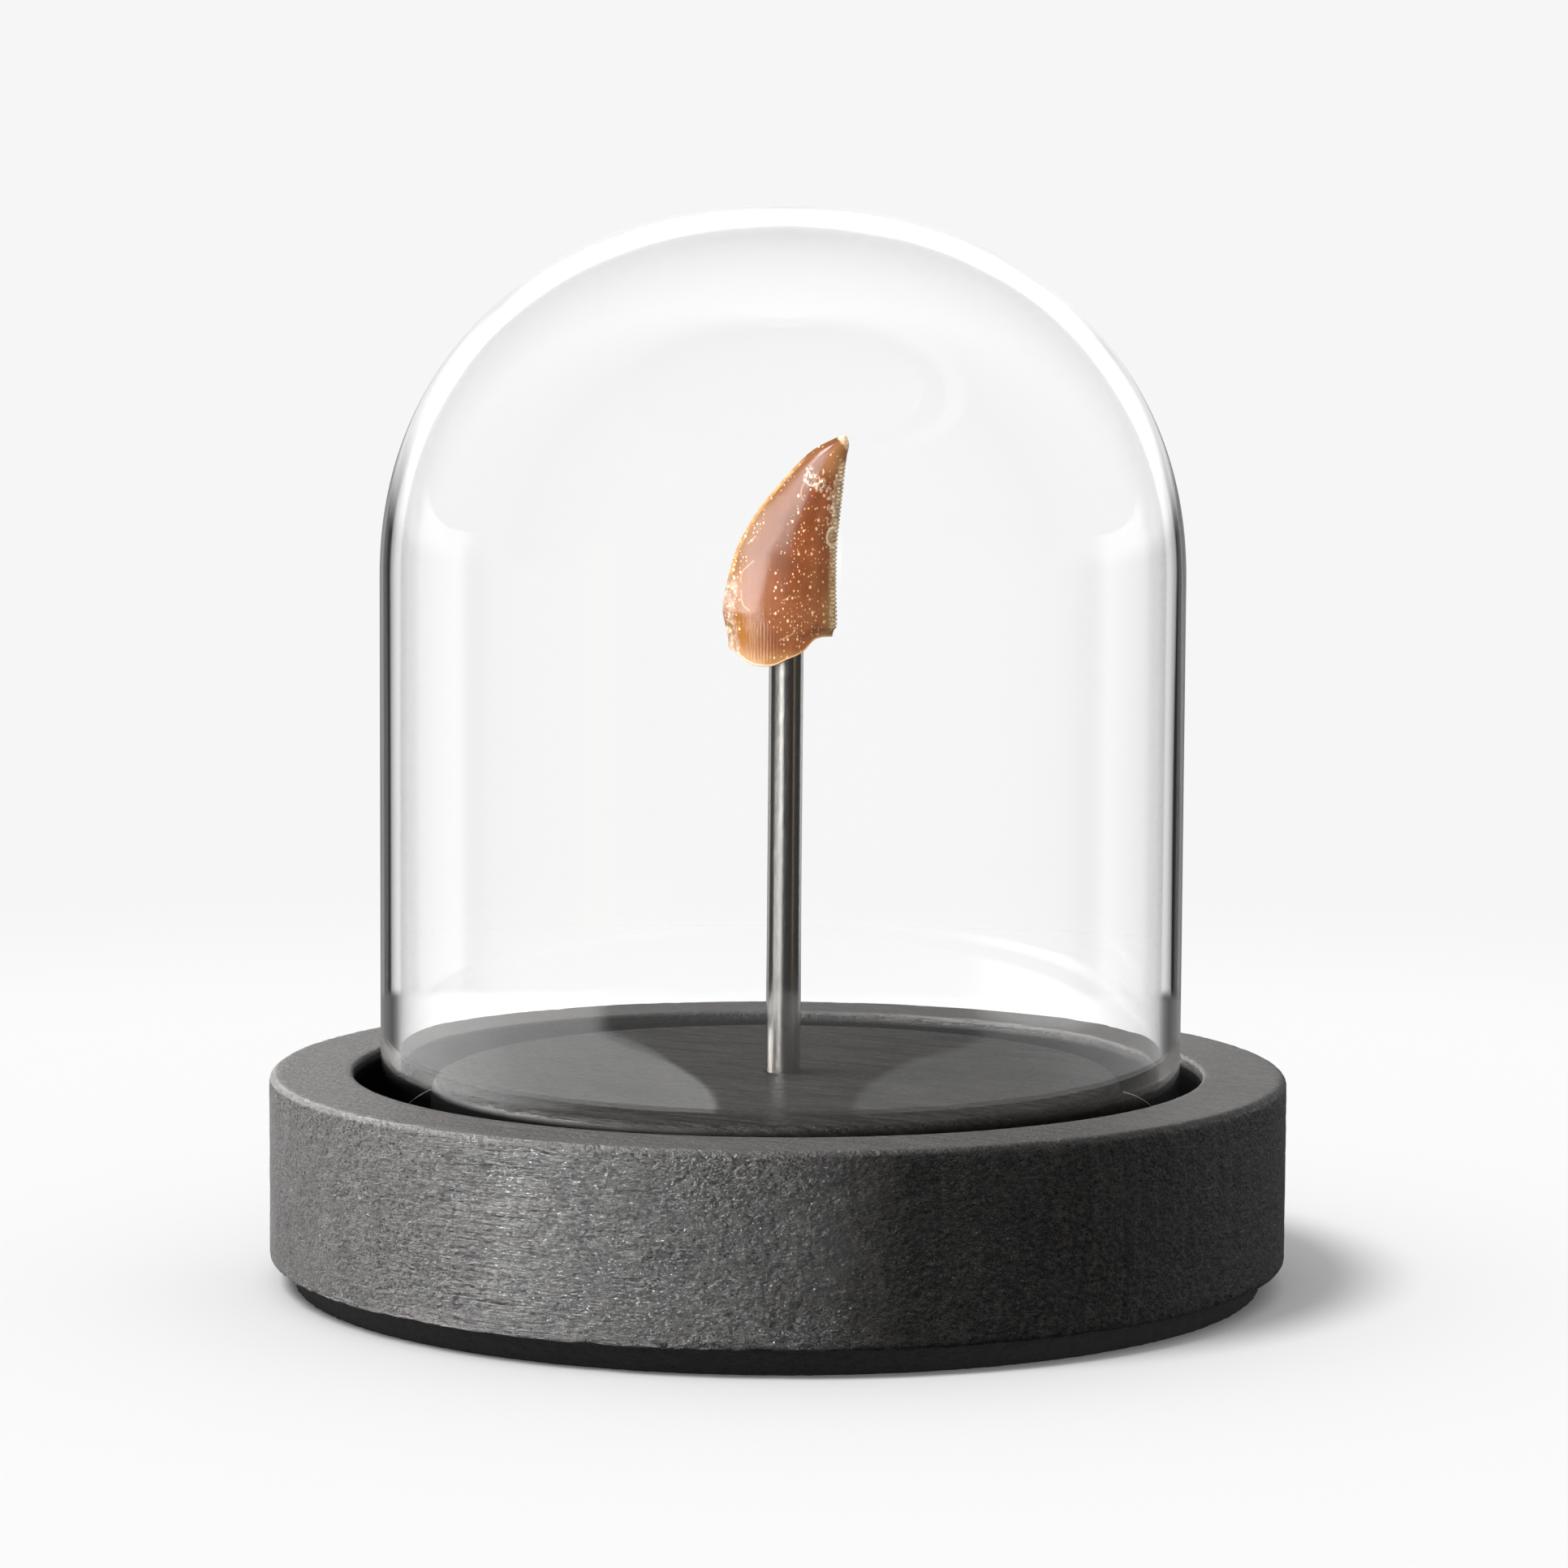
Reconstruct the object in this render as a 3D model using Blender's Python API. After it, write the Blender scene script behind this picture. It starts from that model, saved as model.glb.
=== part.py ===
"""A fossil dinosaur tooth on a steel rod, in a turned wooden stand under a glass dome.

The frame has its origin on the table, under the middle of the stand, with +Z up.
The tooth's broad side faces -Y, and its tip points up and towards +X.
"""

import math

import bmesh
import bpy
from mathutils import Vector

MM = 0.001

# Space left between two pieces that touch.
GAP = 0.3 * MM

# Felt pad under the base.
FELT_RADIUS = 41.0 * MM
FELT_THICKNESS = 1.9 * MM

# Wooden base: a thick disc with a round groove that leaves an island in the middle.
BASE_RADIUS = 43.0 * MM
BASE_BOTTOM = FELT_THICKNESS + GAP
BASE_HEIGHT = 15.6 * MM
BASE_TOP = BASE_BOTTOM + BASE_HEIGHT
BASE_TOP_ROUNDING = 0.7 * MM
BASE_BOTTOM_CHAMFER = 0.3 * MM
GROOVE_OUTER_RADIUS = 35.9 * MM
GROOVE_INNER_RADIUS = 30.1 * MM
GROOVE_DEPTH = 4.0 * MM
GROOVE_EDGE_CHAMFER = 0.35 * MM
ISLAND_TOP = BASE_TOP - 0.3 * MM
ISLAND_EDGE_ROUNDING = 0.8 * MM
EDGE_STEPS = 3
BASE_SEGMENTS = 64

# Steel rod, glued into the island and into the tooth. It leans a little towards +X.
ROD_RADIUS = 1.5 * MM
ROD_FOOT_X = 0.43 * MM
ROD_LEAN = math.radians(0.2)
ROD_DEPTH_IN_BASE = 8.0 * MM
ROD_TOP_ABOVE_ISLAND = 38.2 * MM
ROD_CHAMFER = 0.2 * MM
ROD_SEGMENTS = 24
ROD_HOLE_RADIUS = ROD_RADIUS + GAP

# Glass dome, which stands in the groove. Its cap is a little squarer than an ellipsoid.
DOME_RADIUS = 33.9 * MM
DOME_WALL = 1.7 * MM
DOME_OFFSET_X = 0.2 * MM
DOME_FOOT = BASE_TOP - GROOVE_DEPTH + GAP
DOME_SHOULDER = BASE_TOP + 41.4 * MM
DOME_CAP_HEIGHT = 31.3 * MM
DOME_CAP_POWER = 2.14
DOME_CAP_STEPS = 12
DOME_SEGMENTS = 64

# Tooth. Heights are above the lowest point of its broken root, and x is from the base's axis.
TOOTH_BOTTOM = BASE_TOP + 34.3 * MM
TOOTH_HEIGHT = 19.3 * MM
TOOTH_TIP_X = 5.3 * MM
TOOTH_COLUMNS = 20
FRONT_EDGE = (
    (1.2, -4.40), (2.2, -4.44), (3.6, -4.75), (4.6, -4.92), (6.7, -4.59), (9.2, -3.95),
    (10.7, -3.29), (13.2, -1.81), (15.4, 0.00), (17.3, 1.80), (18.3, 3.02), (19.3, 4.95),
)
BACK_EDGE = (
    (1.2, 4.35), (2.3, 4.45), (3.1, 4.72), (6.4, 4.66), (10.0, 4.70), (13.3, 5.02),
    (17.6, 5.52), (18.6, 5.72), (19.3, 5.50),
)
# The broken lower rim: height over x.
ROOT_RIM = (
    (-5.0, 1.35), (-4.0, 1.20), (-2.7, 0.30), (-1.9, 0.02), (-0.6, 0.06), (0.6, 0.58),
    (1.9, 1.15), (3.1, 2.30), (5.0, 2.36),
)
ROOT_RIM_MEAN = 1.3 * MM
ROOT_RIM_TOP = 3.4 * MM
ROOT_RIM_ROWS = 6
ROOT_LIP_SCALE = 0.86
ROOT_LIP_RISE = 0.35 * MM
ROOT_HOLLOW_RISE = 0.5 * MM
TOOTH_HALF_THICKNESS = 2.7 * MM
TOOTH_FULL_WIDTH = 9.65 * MM
THICKNESS_POWER = 0.9
SECTION_POWER_ROOT = 1.35
SECTION_POWER_TIP = 1.7
TIP_BOW = 0.4 * MM

# Saw teeth of the two cutting edges. A row at a saw tooth's crest and one at its notch make one.
DENTICLE_PITCH = 0.335 * MM
DENTICLE_ROWS = 2
BACK_DENTICLE_DEPTH = 0.15 * MM
BACK_DENTICLE_RANGE = (3.0 * MM, 17.6 * MM)
FRONT_DENTICLE_DEPTH = 0.08 * MM
FRONT_DENTICLE_RANGE = (7.0 * MM, 17.4 * MM)
DENTICLE_SHARE_OF_WIDTH = 0.12
TIP_ROWS = (18.9 * MM, 19.15 * MM)

# Colour, roughness, metallic and transmission of each material.
MATERIALS = {
    "black_wood": ((0.045, 0.043, 0.042), 0.55, 0.0, 0.0),
    "black_felt": ((0.012, 0.012, 0.013), 0.95, 0.0, 0.0),
    "clear_glass": ((1.0, 1.0, 1.0), 0.02, 0.0, 1.0),
    "steel": ((0.42, 0.40, 0.38), 0.28, 1.0, 0.0),
    "fossil_enamel": ((0.36, 0.13, 0.05), 0.30, 0.0, 0.0),
}


def clear_scene():
    """Removes every object, so that the script always starts from nothing."""
    for thing in list(bpy.data.objects):
        bpy.data.objects.remove(thing, do_unlink=True)


def make_material(name):
    """Makes one plain Principled material from the table above."""
    colour, roughness, metallic, transmission = MATERIALS[name]
    material = bpy.data.materials.new(name)
    material.use_nodes = True
    shader = material.node_tree.nodes["Principled BSDF"]
    shader.inputs["Base Color"].default_value = (*colour, 1.0)
    shader.inputs["Roughness"].default_value = roughness
    shader.inputs["Metallic"].default_value = metallic
    shader.inputs["Transmission Weight"].default_value = transmission
    return material


def make_object(name, shape, material, sharp_degrees=40.0):
    """Turns a bmesh into a named object with outward faces and smooth round sides."""
    bmesh.ops.recalc_face_normals(shape, faces=shape.faces)
    mesh = bpy.data.meshes.new(name)
    shape.to_mesh(mesh)
    shape.free()
    mesh.shade_smooth()
    mesh.set_sharp_from_angle(angle=math.radians(sharp_degrees))
    thing = bpy.data.objects.new(name, mesh)
    thing.data.materials.append(make_material(material))
    bpy.context.scene.collection.objects.link(thing)
    return thing


def smooth_curve(points, at):
    """Reads a smooth curve through (position, value) points at one position."""
    positions = [point[0] for point in points]
    values = [point[1] for point in points]
    if at <= positions[0]:
        return values[0]
    if at >= positions[-1]:
        return values[-1]
    right = next(index for index, position in enumerate(positions) if position > at)
    left = right - 1

    def slope(index):
        low = max(index - 1, 0)
        high = min(index + 1, len(points) - 1)
        return (values[high] - values[low]) / (positions[high] - positions[low])

    span = positions[right] - positions[left]
    t = (at - positions[left]) / span
    start = values[left] * (2 * t**3 - 3 * t**2 + 1) + slope(left) * span * (t**3 - 2 * t**2 + t)
    end = values[right] * (3 * t**2 - 2 * t**3) + slope(right) * span * (t**3 - t**2)
    return start + end


def bridge(shape, lower, upper):
    """Joins two rings of equally many points with a belt of quads."""
    count = len(lower)
    for index in range(count):
        after = (index + 1) % count
        shape.faces.new((lower[index], lower[after], upper[after], upper[index]))


def cap(shape, ring, point):
    """Closes a ring with a fan of triangles around one point."""
    centre = shape.verts.new(point)
    count = len(ring)
    for index in range(count):
        shape.faces.new((ring[index], ring[(index + 1) % count], centre))


def turn(profile, segments):
    """Turns a profile of (radius, height) points, which starts and ends on the axis."""
    shape = bmesh.new()
    rings = []
    for radius, height in profile[1:-1]:
        ring = []
        for index in range(segments):
            angle = 2.0 * math.pi * index / segments
            ring.append(shape.verts.new((radius * math.cos(angle), radius * math.sin(angle), height)))
        rings.append(ring)
    for lower, upper in zip(rings[:-1], rings[1:]):
        bridge(shape, lower, upper)
    cap(shape, rings[0], (0.0, 0.0, profile[0][1]))
    cap(shape, rings[-1], (0.0, 0.0, profile[-1][1]))
    return shape


def rounded_edge(radius, height, size):
    """Gives the profile of an upper outer edge, from the side up onto the top face."""
    points = []
    for step in range(EDGE_STEPS + 1):
        angle = 0.5 * math.pi * step / EDGE_STEPS
        out = radius - size + size * math.cos(angle)
        up = height - size + size * math.sin(angle)
        points.append((out, up))
    return points


def rod_axis_x(height):
    """Gives the x of the rod's axis at a height above the table."""
    return ROD_FOOT_X + (height - ISLAND_TOP) * math.tan(ROD_LEAN)


def build_felt_pad():
    """A thin round pad that the stand rests on."""
    profile = [
        (0.0, 0.0),
        (FELT_RADIUS, 0.0),
        (FELT_RADIUS, FELT_THICKNESS),
        (0.0, FELT_THICKNESS),
    ]
    return make_object("felt_pad", turn(profile, BASE_SEGMENTS), "black_felt")


def build_base():
    """The turned disc, from the underside out, over the rim and the groove to the island."""
    groove_floor = BASE_TOP - GROOVE_DEPTH
    profile = [
        (0.0, BASE_BOTTOM),
        (BASE_RADIUS - BASE_BOTTOM_CHAMFER, BASE_BOTTOM),
        (BASE_RADIUS, BASE_BOTTOM + BASE_BOTTOM_CHAMFER),
    ]
    profile += rounded_edge(BASE_RADIUS, BASE_TOP, BASE_TOP_ROUNDING)
    profile += [
        (GROOVE_OUTER_RADIUS + GROOVE_EDGE_CHAMFER, BASE_TOP),
        (GROOVE_OUTER_RADIUS, BASE_TOP - GROOVE_EDGE_CHAMFER),
        (GROOVE_OUTER_RADIUS, groove_floor),
        (GROOVE_INNER_RADIUS, groove_floor),
    ]
    profile += rounded_edge(GROOVE_INNER_RADIUS, ISLAND_TOP, ISLAND_EDGE_ROUNDING)
    profile.append((0.0, ISLAND_TOP))
    base = make_object("base", turn(profile, BASE_SEGMENTS), "black_wood")

    drill = build_rod_hole_drill()
    cut = base.modifiers.new("rod_hole", "BOOLEAN")
    cut.operation = "DIFFERENCE"
    cut.solver = "EXACT"
    cut.object = drill
    return base


def build_rod_hole_drill():
    """The leaning cylinder that cuts the rod's hole into the island."""
    above = 2.0 * MM
    depth = ROD_DEPTH_IN_BASE + GAP
    radius = ROD_HOLE_RADIUS / math.cos(math.pi / ROD_SEGMENTS)
    profile = [(0.0, -depth), (radius, -depth), (radius, above), (0.0, above)]
    drill = make_object("rod_hole_drill", turn(profile, ROD_SEGMENTS), "black_wood")
    drill.location = (ROD_FOOT_X, 0.0, ISLAND_TOP)
    drill.rotation_euler = (0.0, ROD_LEAN, 0.0)
    drill.hide_render = True
    drill.display_type = "WIRE"
    return drill


def build_rod():
    """The round steel rod, with its origin where it leaves the island."""
    bottom = -ROD_DEPTH_IN_BASE
    top = ROD_TOP_ABOVE_ISLAND
    profile = [
        (0.0, bottom),
        (ROD_RADIUS - ROD_CHAMFER, bottom),
        (ROD_RADIUS, bottom + ROD_CHAMFER),
        (ROD_RADIUS, top - ROD_CHAMFER),
        (ROD_RADIUS - ROD_CHAMFER, top),
        (0.0, top),
    ]
    rod = make_object("rod", turn(profile, ROD_SEGMENTS), "steel")
    rod.location = (ROD_FOOT_X, 0.0, ISLAND_TOP)
    rod.rotation_euler = (0.0, ROD_LEAN, 0.0)
    return rod


def dome_wall(radius, cap_height):
    """One face of the dome, from its foot up to the last ring before the top."""
    points = [(radius, DOME_SHOULDER)]
    for step in range(1, DOME_CAP_STEPS):
        angle = 0.5 * math.pi * step / DOME_CAP_STEPS
        out = math.cos(angle) ** (2.0 / DOME_CAP_POWER)
        up = math.sin(angle) ** (2.0 / DOME_CAP_POWER)
        points.append((radius * out, DOME_SHOULDER + cap_height * up))
    return points


def build_glass_dome():
    """A blown glass bell of even wall with a rounded foot, open below."""
    outer = dome_wall(DOME_RADIUS, DOME_CAP_HEIGHT)
    inner = dome_wall(DOME_RADIUS - DOME_WALL, DOME_CAP_HEIGHT - DOME_WALL)
    round_foot = 0.5 * DOME_WALL
    foot = [
        (DOME_RADIUS - DOME_WALL, DOME_FOOT + round_foot),
        (DOME_RADIUS - round_foot, DOME_FOOT),
        (DOME_RADIUS, DOME_FOOT + round_foot),
    ]
    profile = [(0.0, DOME_SHOULDER + DOME_CAP_HEIGHT - DOME_WALL)]
    profile += reversed(inner)
    profile += foot
    profile += outer
    profile.append((0.0, DOME_SHOULDER + DOME_CAP_HEIGHT))
    dome = make_object("glass_dome", turn(profile, DOME_SEGMENTS), "clear_glass")
    dome.location = (DOME_OFFSET_X, 0.0, 0.0)
    return dome


def tooth_width(height):
    """Gives the x of the front and back cutting edges at a height."""
    front = smooth_curve(FRONT_EDGE, height / MM) * MM
    back = smooth_curve(BACK_EDGE, height / MM) * MM
    return front, back


def tooth_section(height, front_notch=0.0, back_notch=0.0):
    """One level section of the crown: a lens with a sharp edge at each end."""
    front, back = tooth_width(height)
    middle = 0.5 * (front + back)
    half_width = 0.5 * (back - front)
    rise = height / TOOTH_HEIGHT
    thickness = TOOTH_HALF_THICKNESS * (2.0 * half_width / TOOTH_FULL_WIDTH) ** THICKNESS_POWER
    power = SECTION_POWER_ROOT + (SECTION_POWER_TIP - SECTION_POWER_ROOT) * rise
    bow = TIP_BOW * rise**2
    points = []
    for column in range(TOOTH_COLUMNS):
        angle = 2.0 * math.pi * column / TOOTH_COLUMNS
        across = math.sin(angle)
        y = math.copysign(abs(across) ** power, across) * thickness + bow
        points.append(Vector((middle + half_width * math.cos(angle), y, height)))
    points[0].x -= min(back_notch, DENTICLE_SHARE_OF_WIDTH * half_width)
    points[TOOTH_COLUMNS // 2].x += min(front_notch, DENTICLE_SHARE_OF_WIDTH * half_width)
    return points


def rim_height(x):
    """Gives the height of the root's broken rim at one x."""
    return smooth_curve(ROOT_RIM, x / MM) * MM


def tooth_rows():
    """All sections, from the broken rim to just under the tip."""
    rows = []
    for row in range(ROOT_RIM_ROWS):
        share = row / ROOT_RIM_ROWS
        section = tooth_section(ROOT_RIM_MEAN + (ROOT_RIM_TOP - ROOT_RIM_MEAN) * share)
        for point in section:
            rim = rim_height(point.x)
            point.z = rim + (ROOT_RIM_TOP - rim) * share
        rows.append(section)
    step = DENTICLE_PITCH / DENTICLE_ROWS
    count = int((TIP_ROWS[0] - ROOT_RIM_TOP) / step)
    for row in range(count):
        height = ROOT_RIM_TOP + row * step
        between = row % DENTICLE_ROWS == 1
        in_back = BACK_DENTICLE_RANGE[0] < height < BACK_DENTICLE_RANGE[1]
        in_front = FRONT_DENTICLE_RANGE[0] < height < FRONT_DENTICLE_RANGE[1]
        back_notch = BACK_DENTICLE_DEPTH if between and in_back else 0.0
        front_notch = FRONT_DENTICLE_DEPTH if between and in_front else 0.0
        rows.append(tooth_section(height, front_notch, back_notch))
    for height in TIP_ROWS:
        rows.append(tooth_section(height))
    return rows


def build_tooth():
    """The crown with its saw edges, the broken root and the drilled hole for the rod."""
    shape = bmesh.new()
    rings = [[shape.verts.new(point) for point in section] for section in tooth_rows()]
    for lower, upper in zip(rings[:-1], rings[1:]):
        bridge(shape, lower, upper)
    cap(shape, rings[-1], (TOOTH_TIP_X, TIP_BOW, TOOTH_HEIGHT))

    middle = sum(vert.co.x for vert in rings[0]) / TOOTH_COLUMNS
    lip = []
    for vert in rings[0]:
        x = middle + (vert.co.x - middle) * ROOT_LIP_SCALE
        height = rim_height(x) + ROOT_LIP_RISE
        lip.append(shape.verts.new((x, vert.co.y * ROOT_LIP_SCALE, height)))

    radius = ROD_HOLE_RADIUS / math.cos(math.pi / TOOTH_COLUMNS)
    hole_top = ISLAND_TOP + ROD_TOP_ABOVE_ISLAND + GAP - TOOTH_BOTTOM
    mouth_x = rod_axis_x(TOOTH_BOTTOM)
    top_x = rod_axis_x(TOOTH_BOTTOM + hole_top)
    mouth = []
    top = []
    for column in range(TOOTH_COLUMNS):
        angle = 2.0 * math.pi * column / TOOTH_COLUMNS
        out_x = radius * math.cos(angle)
        out_y = radius * math.sin(angle)
        height = rim_height(mouth_x + out_x) + ROOT_HOLLOW_RISE
        mouth.append(shape.verts.new((mouth_x + out_x, out_y, height)))
        top.append(shape.verts.new((top_x + out_x, out_y, hole_top)))
    bridge(shape, lip, rings[0])
    bridge(shape, mouth, lip)
    bridge(shape, top, mouth)
    cap(shape, top, (top_x, 0.0, hole_top))

    tooth = make_object("tooth", shape, "fossil_enamel", sharp_degrees=55.0)
    tooth.location = (0.0, 0.0, TOOTH_BOTTOM)
    return tooth


def main():
    clear_scene()
    build_felt_pad()
    build_base()
    build_rod()
    build_glass_dome()
    build_tooth()


main()
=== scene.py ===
"""The looks of a fossil dinosaur tooth on a steel rod, in a black wooden stand under a glass dome.

Every length is in metres unless its name or comment says millimetres. +Z is up, and the tooth's
broad side faces -Y, towards the camera.
"""

import math

import bpy
import numpy as np
from mathutils import Matrix, Vector


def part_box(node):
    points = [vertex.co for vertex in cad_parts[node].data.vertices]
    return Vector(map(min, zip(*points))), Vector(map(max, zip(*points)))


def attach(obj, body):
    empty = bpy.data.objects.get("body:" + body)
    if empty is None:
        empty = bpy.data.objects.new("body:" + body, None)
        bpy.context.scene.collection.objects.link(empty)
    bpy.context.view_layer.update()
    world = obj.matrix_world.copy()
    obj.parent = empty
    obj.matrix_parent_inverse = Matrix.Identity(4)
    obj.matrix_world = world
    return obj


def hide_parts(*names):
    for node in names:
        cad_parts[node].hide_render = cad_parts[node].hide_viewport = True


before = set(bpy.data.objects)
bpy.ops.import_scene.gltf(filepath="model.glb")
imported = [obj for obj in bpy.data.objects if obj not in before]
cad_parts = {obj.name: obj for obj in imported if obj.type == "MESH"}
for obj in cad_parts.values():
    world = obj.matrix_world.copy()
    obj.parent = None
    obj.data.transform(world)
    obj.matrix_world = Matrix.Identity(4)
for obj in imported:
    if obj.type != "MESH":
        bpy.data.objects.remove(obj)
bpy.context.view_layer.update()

MM = 0.001
BODY = "root"

# What the frame says about each piece, in millimetres.
base_low, base_high = (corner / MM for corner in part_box("base"))
felt_low, felt_high = (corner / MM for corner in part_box("felt_pad"))
rod_low, rod_high = (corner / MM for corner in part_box("rod"))
dome_low, dome_high = (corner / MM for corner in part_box("glass_dome"))
tooth_low, tooth_high = (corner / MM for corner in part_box("tooth"))

# Wooden base, in millimetres. The groove and the island are those of the solid base, but the
# island is a little smaller and rounder.
BASE_RADIUS = 0.5 * (base_high.x - base_low.x)
BASE_BOTTOM = base_low.z
BASE_TOP = base_high.z
BASE_BOTTOM_ROUNDING = 0.35
BASE_TOP_ROUNDING = 0.7
GROOVE_OUTER_RADIUS = 35.9
GROOVE_INNER_RADIUS = 29.4
GROOVE_FLOOR = BASE_TOP - 4.0
GROOVE_EDGE = 0.35
ISLAND_TOP = BASE_TOP - 0.3
ISLAND_EDGE_ROUNDING = 1.3
HOLE_CLEARANCE = 0.04
WOOD_COLUMNS = 840
# The grain runs along the stand at this turn about Z, and the rings' pith lies outside the wood.
GRAIN_TURN = math.radians(-31.0)
PITH_OFFSET = 58.0
PITH_HEIGHT = 9.5
RING_PITCH = 0.9
# How far the wood's surface rises and falls.
FIBRE_RELIEF = 0.025
STRAND_RELIEF = 0.015
PIT_DEPTH = 0.07
RING_RELIEF = 0.003
WOOD_INSET = 0.045
LOWER_CHIPS = 0.30
UPPER_CHIPS = 0.12
HOLE_EDGE_RELIEF = 0.10
# How much of that relief each part of the wood has.
ROUGH_SIDE = 1.0
ROUGH_TOP = 0.45
ROUGH_ISLAND = 0.1

# Felt pad, in millimetres.
FELT_RADIUS = 0.5 * (felt_high.x - felt_low.x) - 0.12
FELT_TOP = BASE_BOTTOM - 0.03
FELT_FUZZ = 0.11

# Steel rod, in millimetres. Its axis leans a little, as the box of its solid shows.
ROD_RADIUS = 1.5
ROD_BOTTOM = rod_low.z
ROD_TOP = rod_high.z
ROD_FOOT_X = rod_low.x + ROD_RADIUS
ROD_HEAD_X = rod_high.x - ROD_RADIUS
ROD_COLUMNS = 128
ROD_ROWS = 90
ROD_CHAMFER = 0.2

# Glass dome, in millimetres.
DOME_RADIUS = 0.5 * (dome_high.x - dome_low.x) - 0.08
DOME_CENTRE_X = 0.5 * (dome_high.x + dome_low.x)
DOME_WALL = 1.7
DOME_FOOT = dome_low.z
DOME_TOP = dome_high.z
DOME_CAP_HEIGHT = 31.3
DOME_CAP_POWER = 2.14
DOME_COLUMNS = 256
DOME_CAP_ROWS = 90
DOME_WALL_ROWS = 24

# Tooth, in millimetres. Heights are above the lowest point of its root, x is from the stand's axis.
TOOTH_BOTTOM = tooth_low.z
TOOTH_HEIGHT = tooth_high.z - tooth_low.z
TOOTH_TIP_X = 5.3
TOOTH_COLUMNS = 236
TOOTH_ROWS = 372
FRONT_EDGE = (
    (1.2, -4.40), (2.2, -4.44), (3.6, -4.75), (4.6, -4.92), (6.7, -4.59), (9.2, -3.95),
    (10.7, -3.29), (13.2, -1.81), (15.4, 0.00), (17.3, 1.80), (18.3, 3.02), (19.3, 4.95),
)
BACK_EDGE = (
    (1.2, 4.35), (2.3, 4.45), (3.1, 4.72), (6.4, 4.66), (10.0, 4.70), (13.3, 5.02),
    (17.6, 5.52), (18.6, 5.72), (19.3, 5.50),
)
ROOT_RIM = (
    (-5.0, 1.35), (-4.0, 1.20), (-2.7, 0.30), (-1.9, 0.02), (-0.6, 0.06), (0.6, 0.58),
    (1.9, 1.15), (3.1, 2.30), (5.0, 2.36),
)
ROOT_RIM_MEAN = 1.3
ROOT_RIM_TOP = 3.4
ROOT_RIM_ROWS = 44
ROOT_LIP_SCALE = 0.86
ROOT_LIP_RISE = 0.35
ROOT_HOLLOW_RISE = 0.5
TOOTH_HALF_THICKNESS = 2.7
TOOTH_FULL_WIDTH = 9.65
THICKNESS_POWER = 0.9
SECTION_POWER_ROOT = 1.35
SECTION_POWER_TIP = 1.7
TIP_BOW = 0.4
EVEN_COLUMNS = 0.6

# Saw teeth of the cutting edges, in millimetres.
BACK_PITCH = 0.335
BACK_DEPTH = 0.20
BACK_RANGE = (2.9, 17.4)
BACK_GROOVE_LENGTH = 0.85
BACK_GROOVE_DEPTH = 0.075
FRONT_PITCH = 0.27
FRONT_DEPTH = 0.08
FRONT_RANGE = (6.8, 17.6)
FRONT_GROOVE_LENGTH = 0.4
FRONT_GROOVE_DEPTH = 0.045

# What lies on the tooth's surface, in millimetres. Places and paths are (x, height).
WAVE_RELIEF = 0.022
BAND_RELIEF = 0.010
RIDGE_PITCH = 0.27
RIDGE_RELIEF = 0.028
MARGIN_RELIEF = 0.12
CRACK_X = -4.02
CRACK_LEAN = 0.12
CRACK_DEPTH = 0.25
WEDGE_DEPTH = 0.16
CHIP_PLACE = (4.32, 10.75)
CHIP_SIZE = (0.44, 0.74)
CHIP_DEPTH = 0.10
CHIP_RIM_DEPTH = 0.035
CRUST_BRANCH = ((2.6, 15.9), (3.3, 15.2), (4.1, 14.5), (4.6, 13.4))
CRUST_STRIP = ((5.0, 15.6), (4.75, 13.8), (4.55, 12.0), (4.5, 11.0))
CRUST_RELIEF = 0.035
WORN_DEPTH = 0.05
SCRATCH_WIDTH = 0.038
SCRATCHES = (
    ((2.0, 15.35), (1.78, 14.9), (1.72, 14.5), (1.80, 14.15), (1.98, 13.9)),
    ((-2.28, 8.8), (-2.7, 8.4), (-3.15, 8.0), (-3.35, 7.5), (-3.35, 7.0)),
    ((-3.32, 6.3), (-3.30, 5.6), (-3.1, 5.05), (-2.6, 4.65)),
    ((1.35, 3.25), (1.1, 2.75), (0.5, 2.45), (-0.05, 2.2)),
    ((0.25, 5.55), (0.6, 5.7), (0.85, 5.95)),
    ((-2.75, 10.2), (-2.35, 10.6), (-2.1, 10.85)),
)

# Camera, measured from the photo: lens and sensor in millimetres, place in metres.
IMAGE_SIZE = 1932
CAMERA_FOCAL_PIXELS = 6079.17
CAMERA_SENSOR = 36.0
CAMERA_PLACE = (0.378 * MM, -414.827 * MM, (BASE_TOP + 62.654) * MM)
CAMERA_PITCH = 0.092554
CAMERA_ROLL = 0.00529

# Brightness of the plain surroundings, as linear light: seen directly, seen through the glass,
# whose walls take a little of it, and as what matt surfaces receive.
SURROUNDINGS = 0.922
THROUGH_GLASS = 1.08
AMBIENT = 0.67

# Floor, in millimetres, and how pale it is.
FLOOR_RADIUS = 320.0
FLOOR_FADE = (150.0, 300.0)
FLOOR_ALBEDO = 0.82

# Lights: the key's angles in degrees, and the window panels' distance in millimetres.
KEY_AZIMUTH = -57.0
KEY_ELEVATION = 60.0
KEY_STRENGTH = 1.86
KEY_SOFTNESS = 22.0
PANEL_DISTANCE = 400.0
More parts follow.
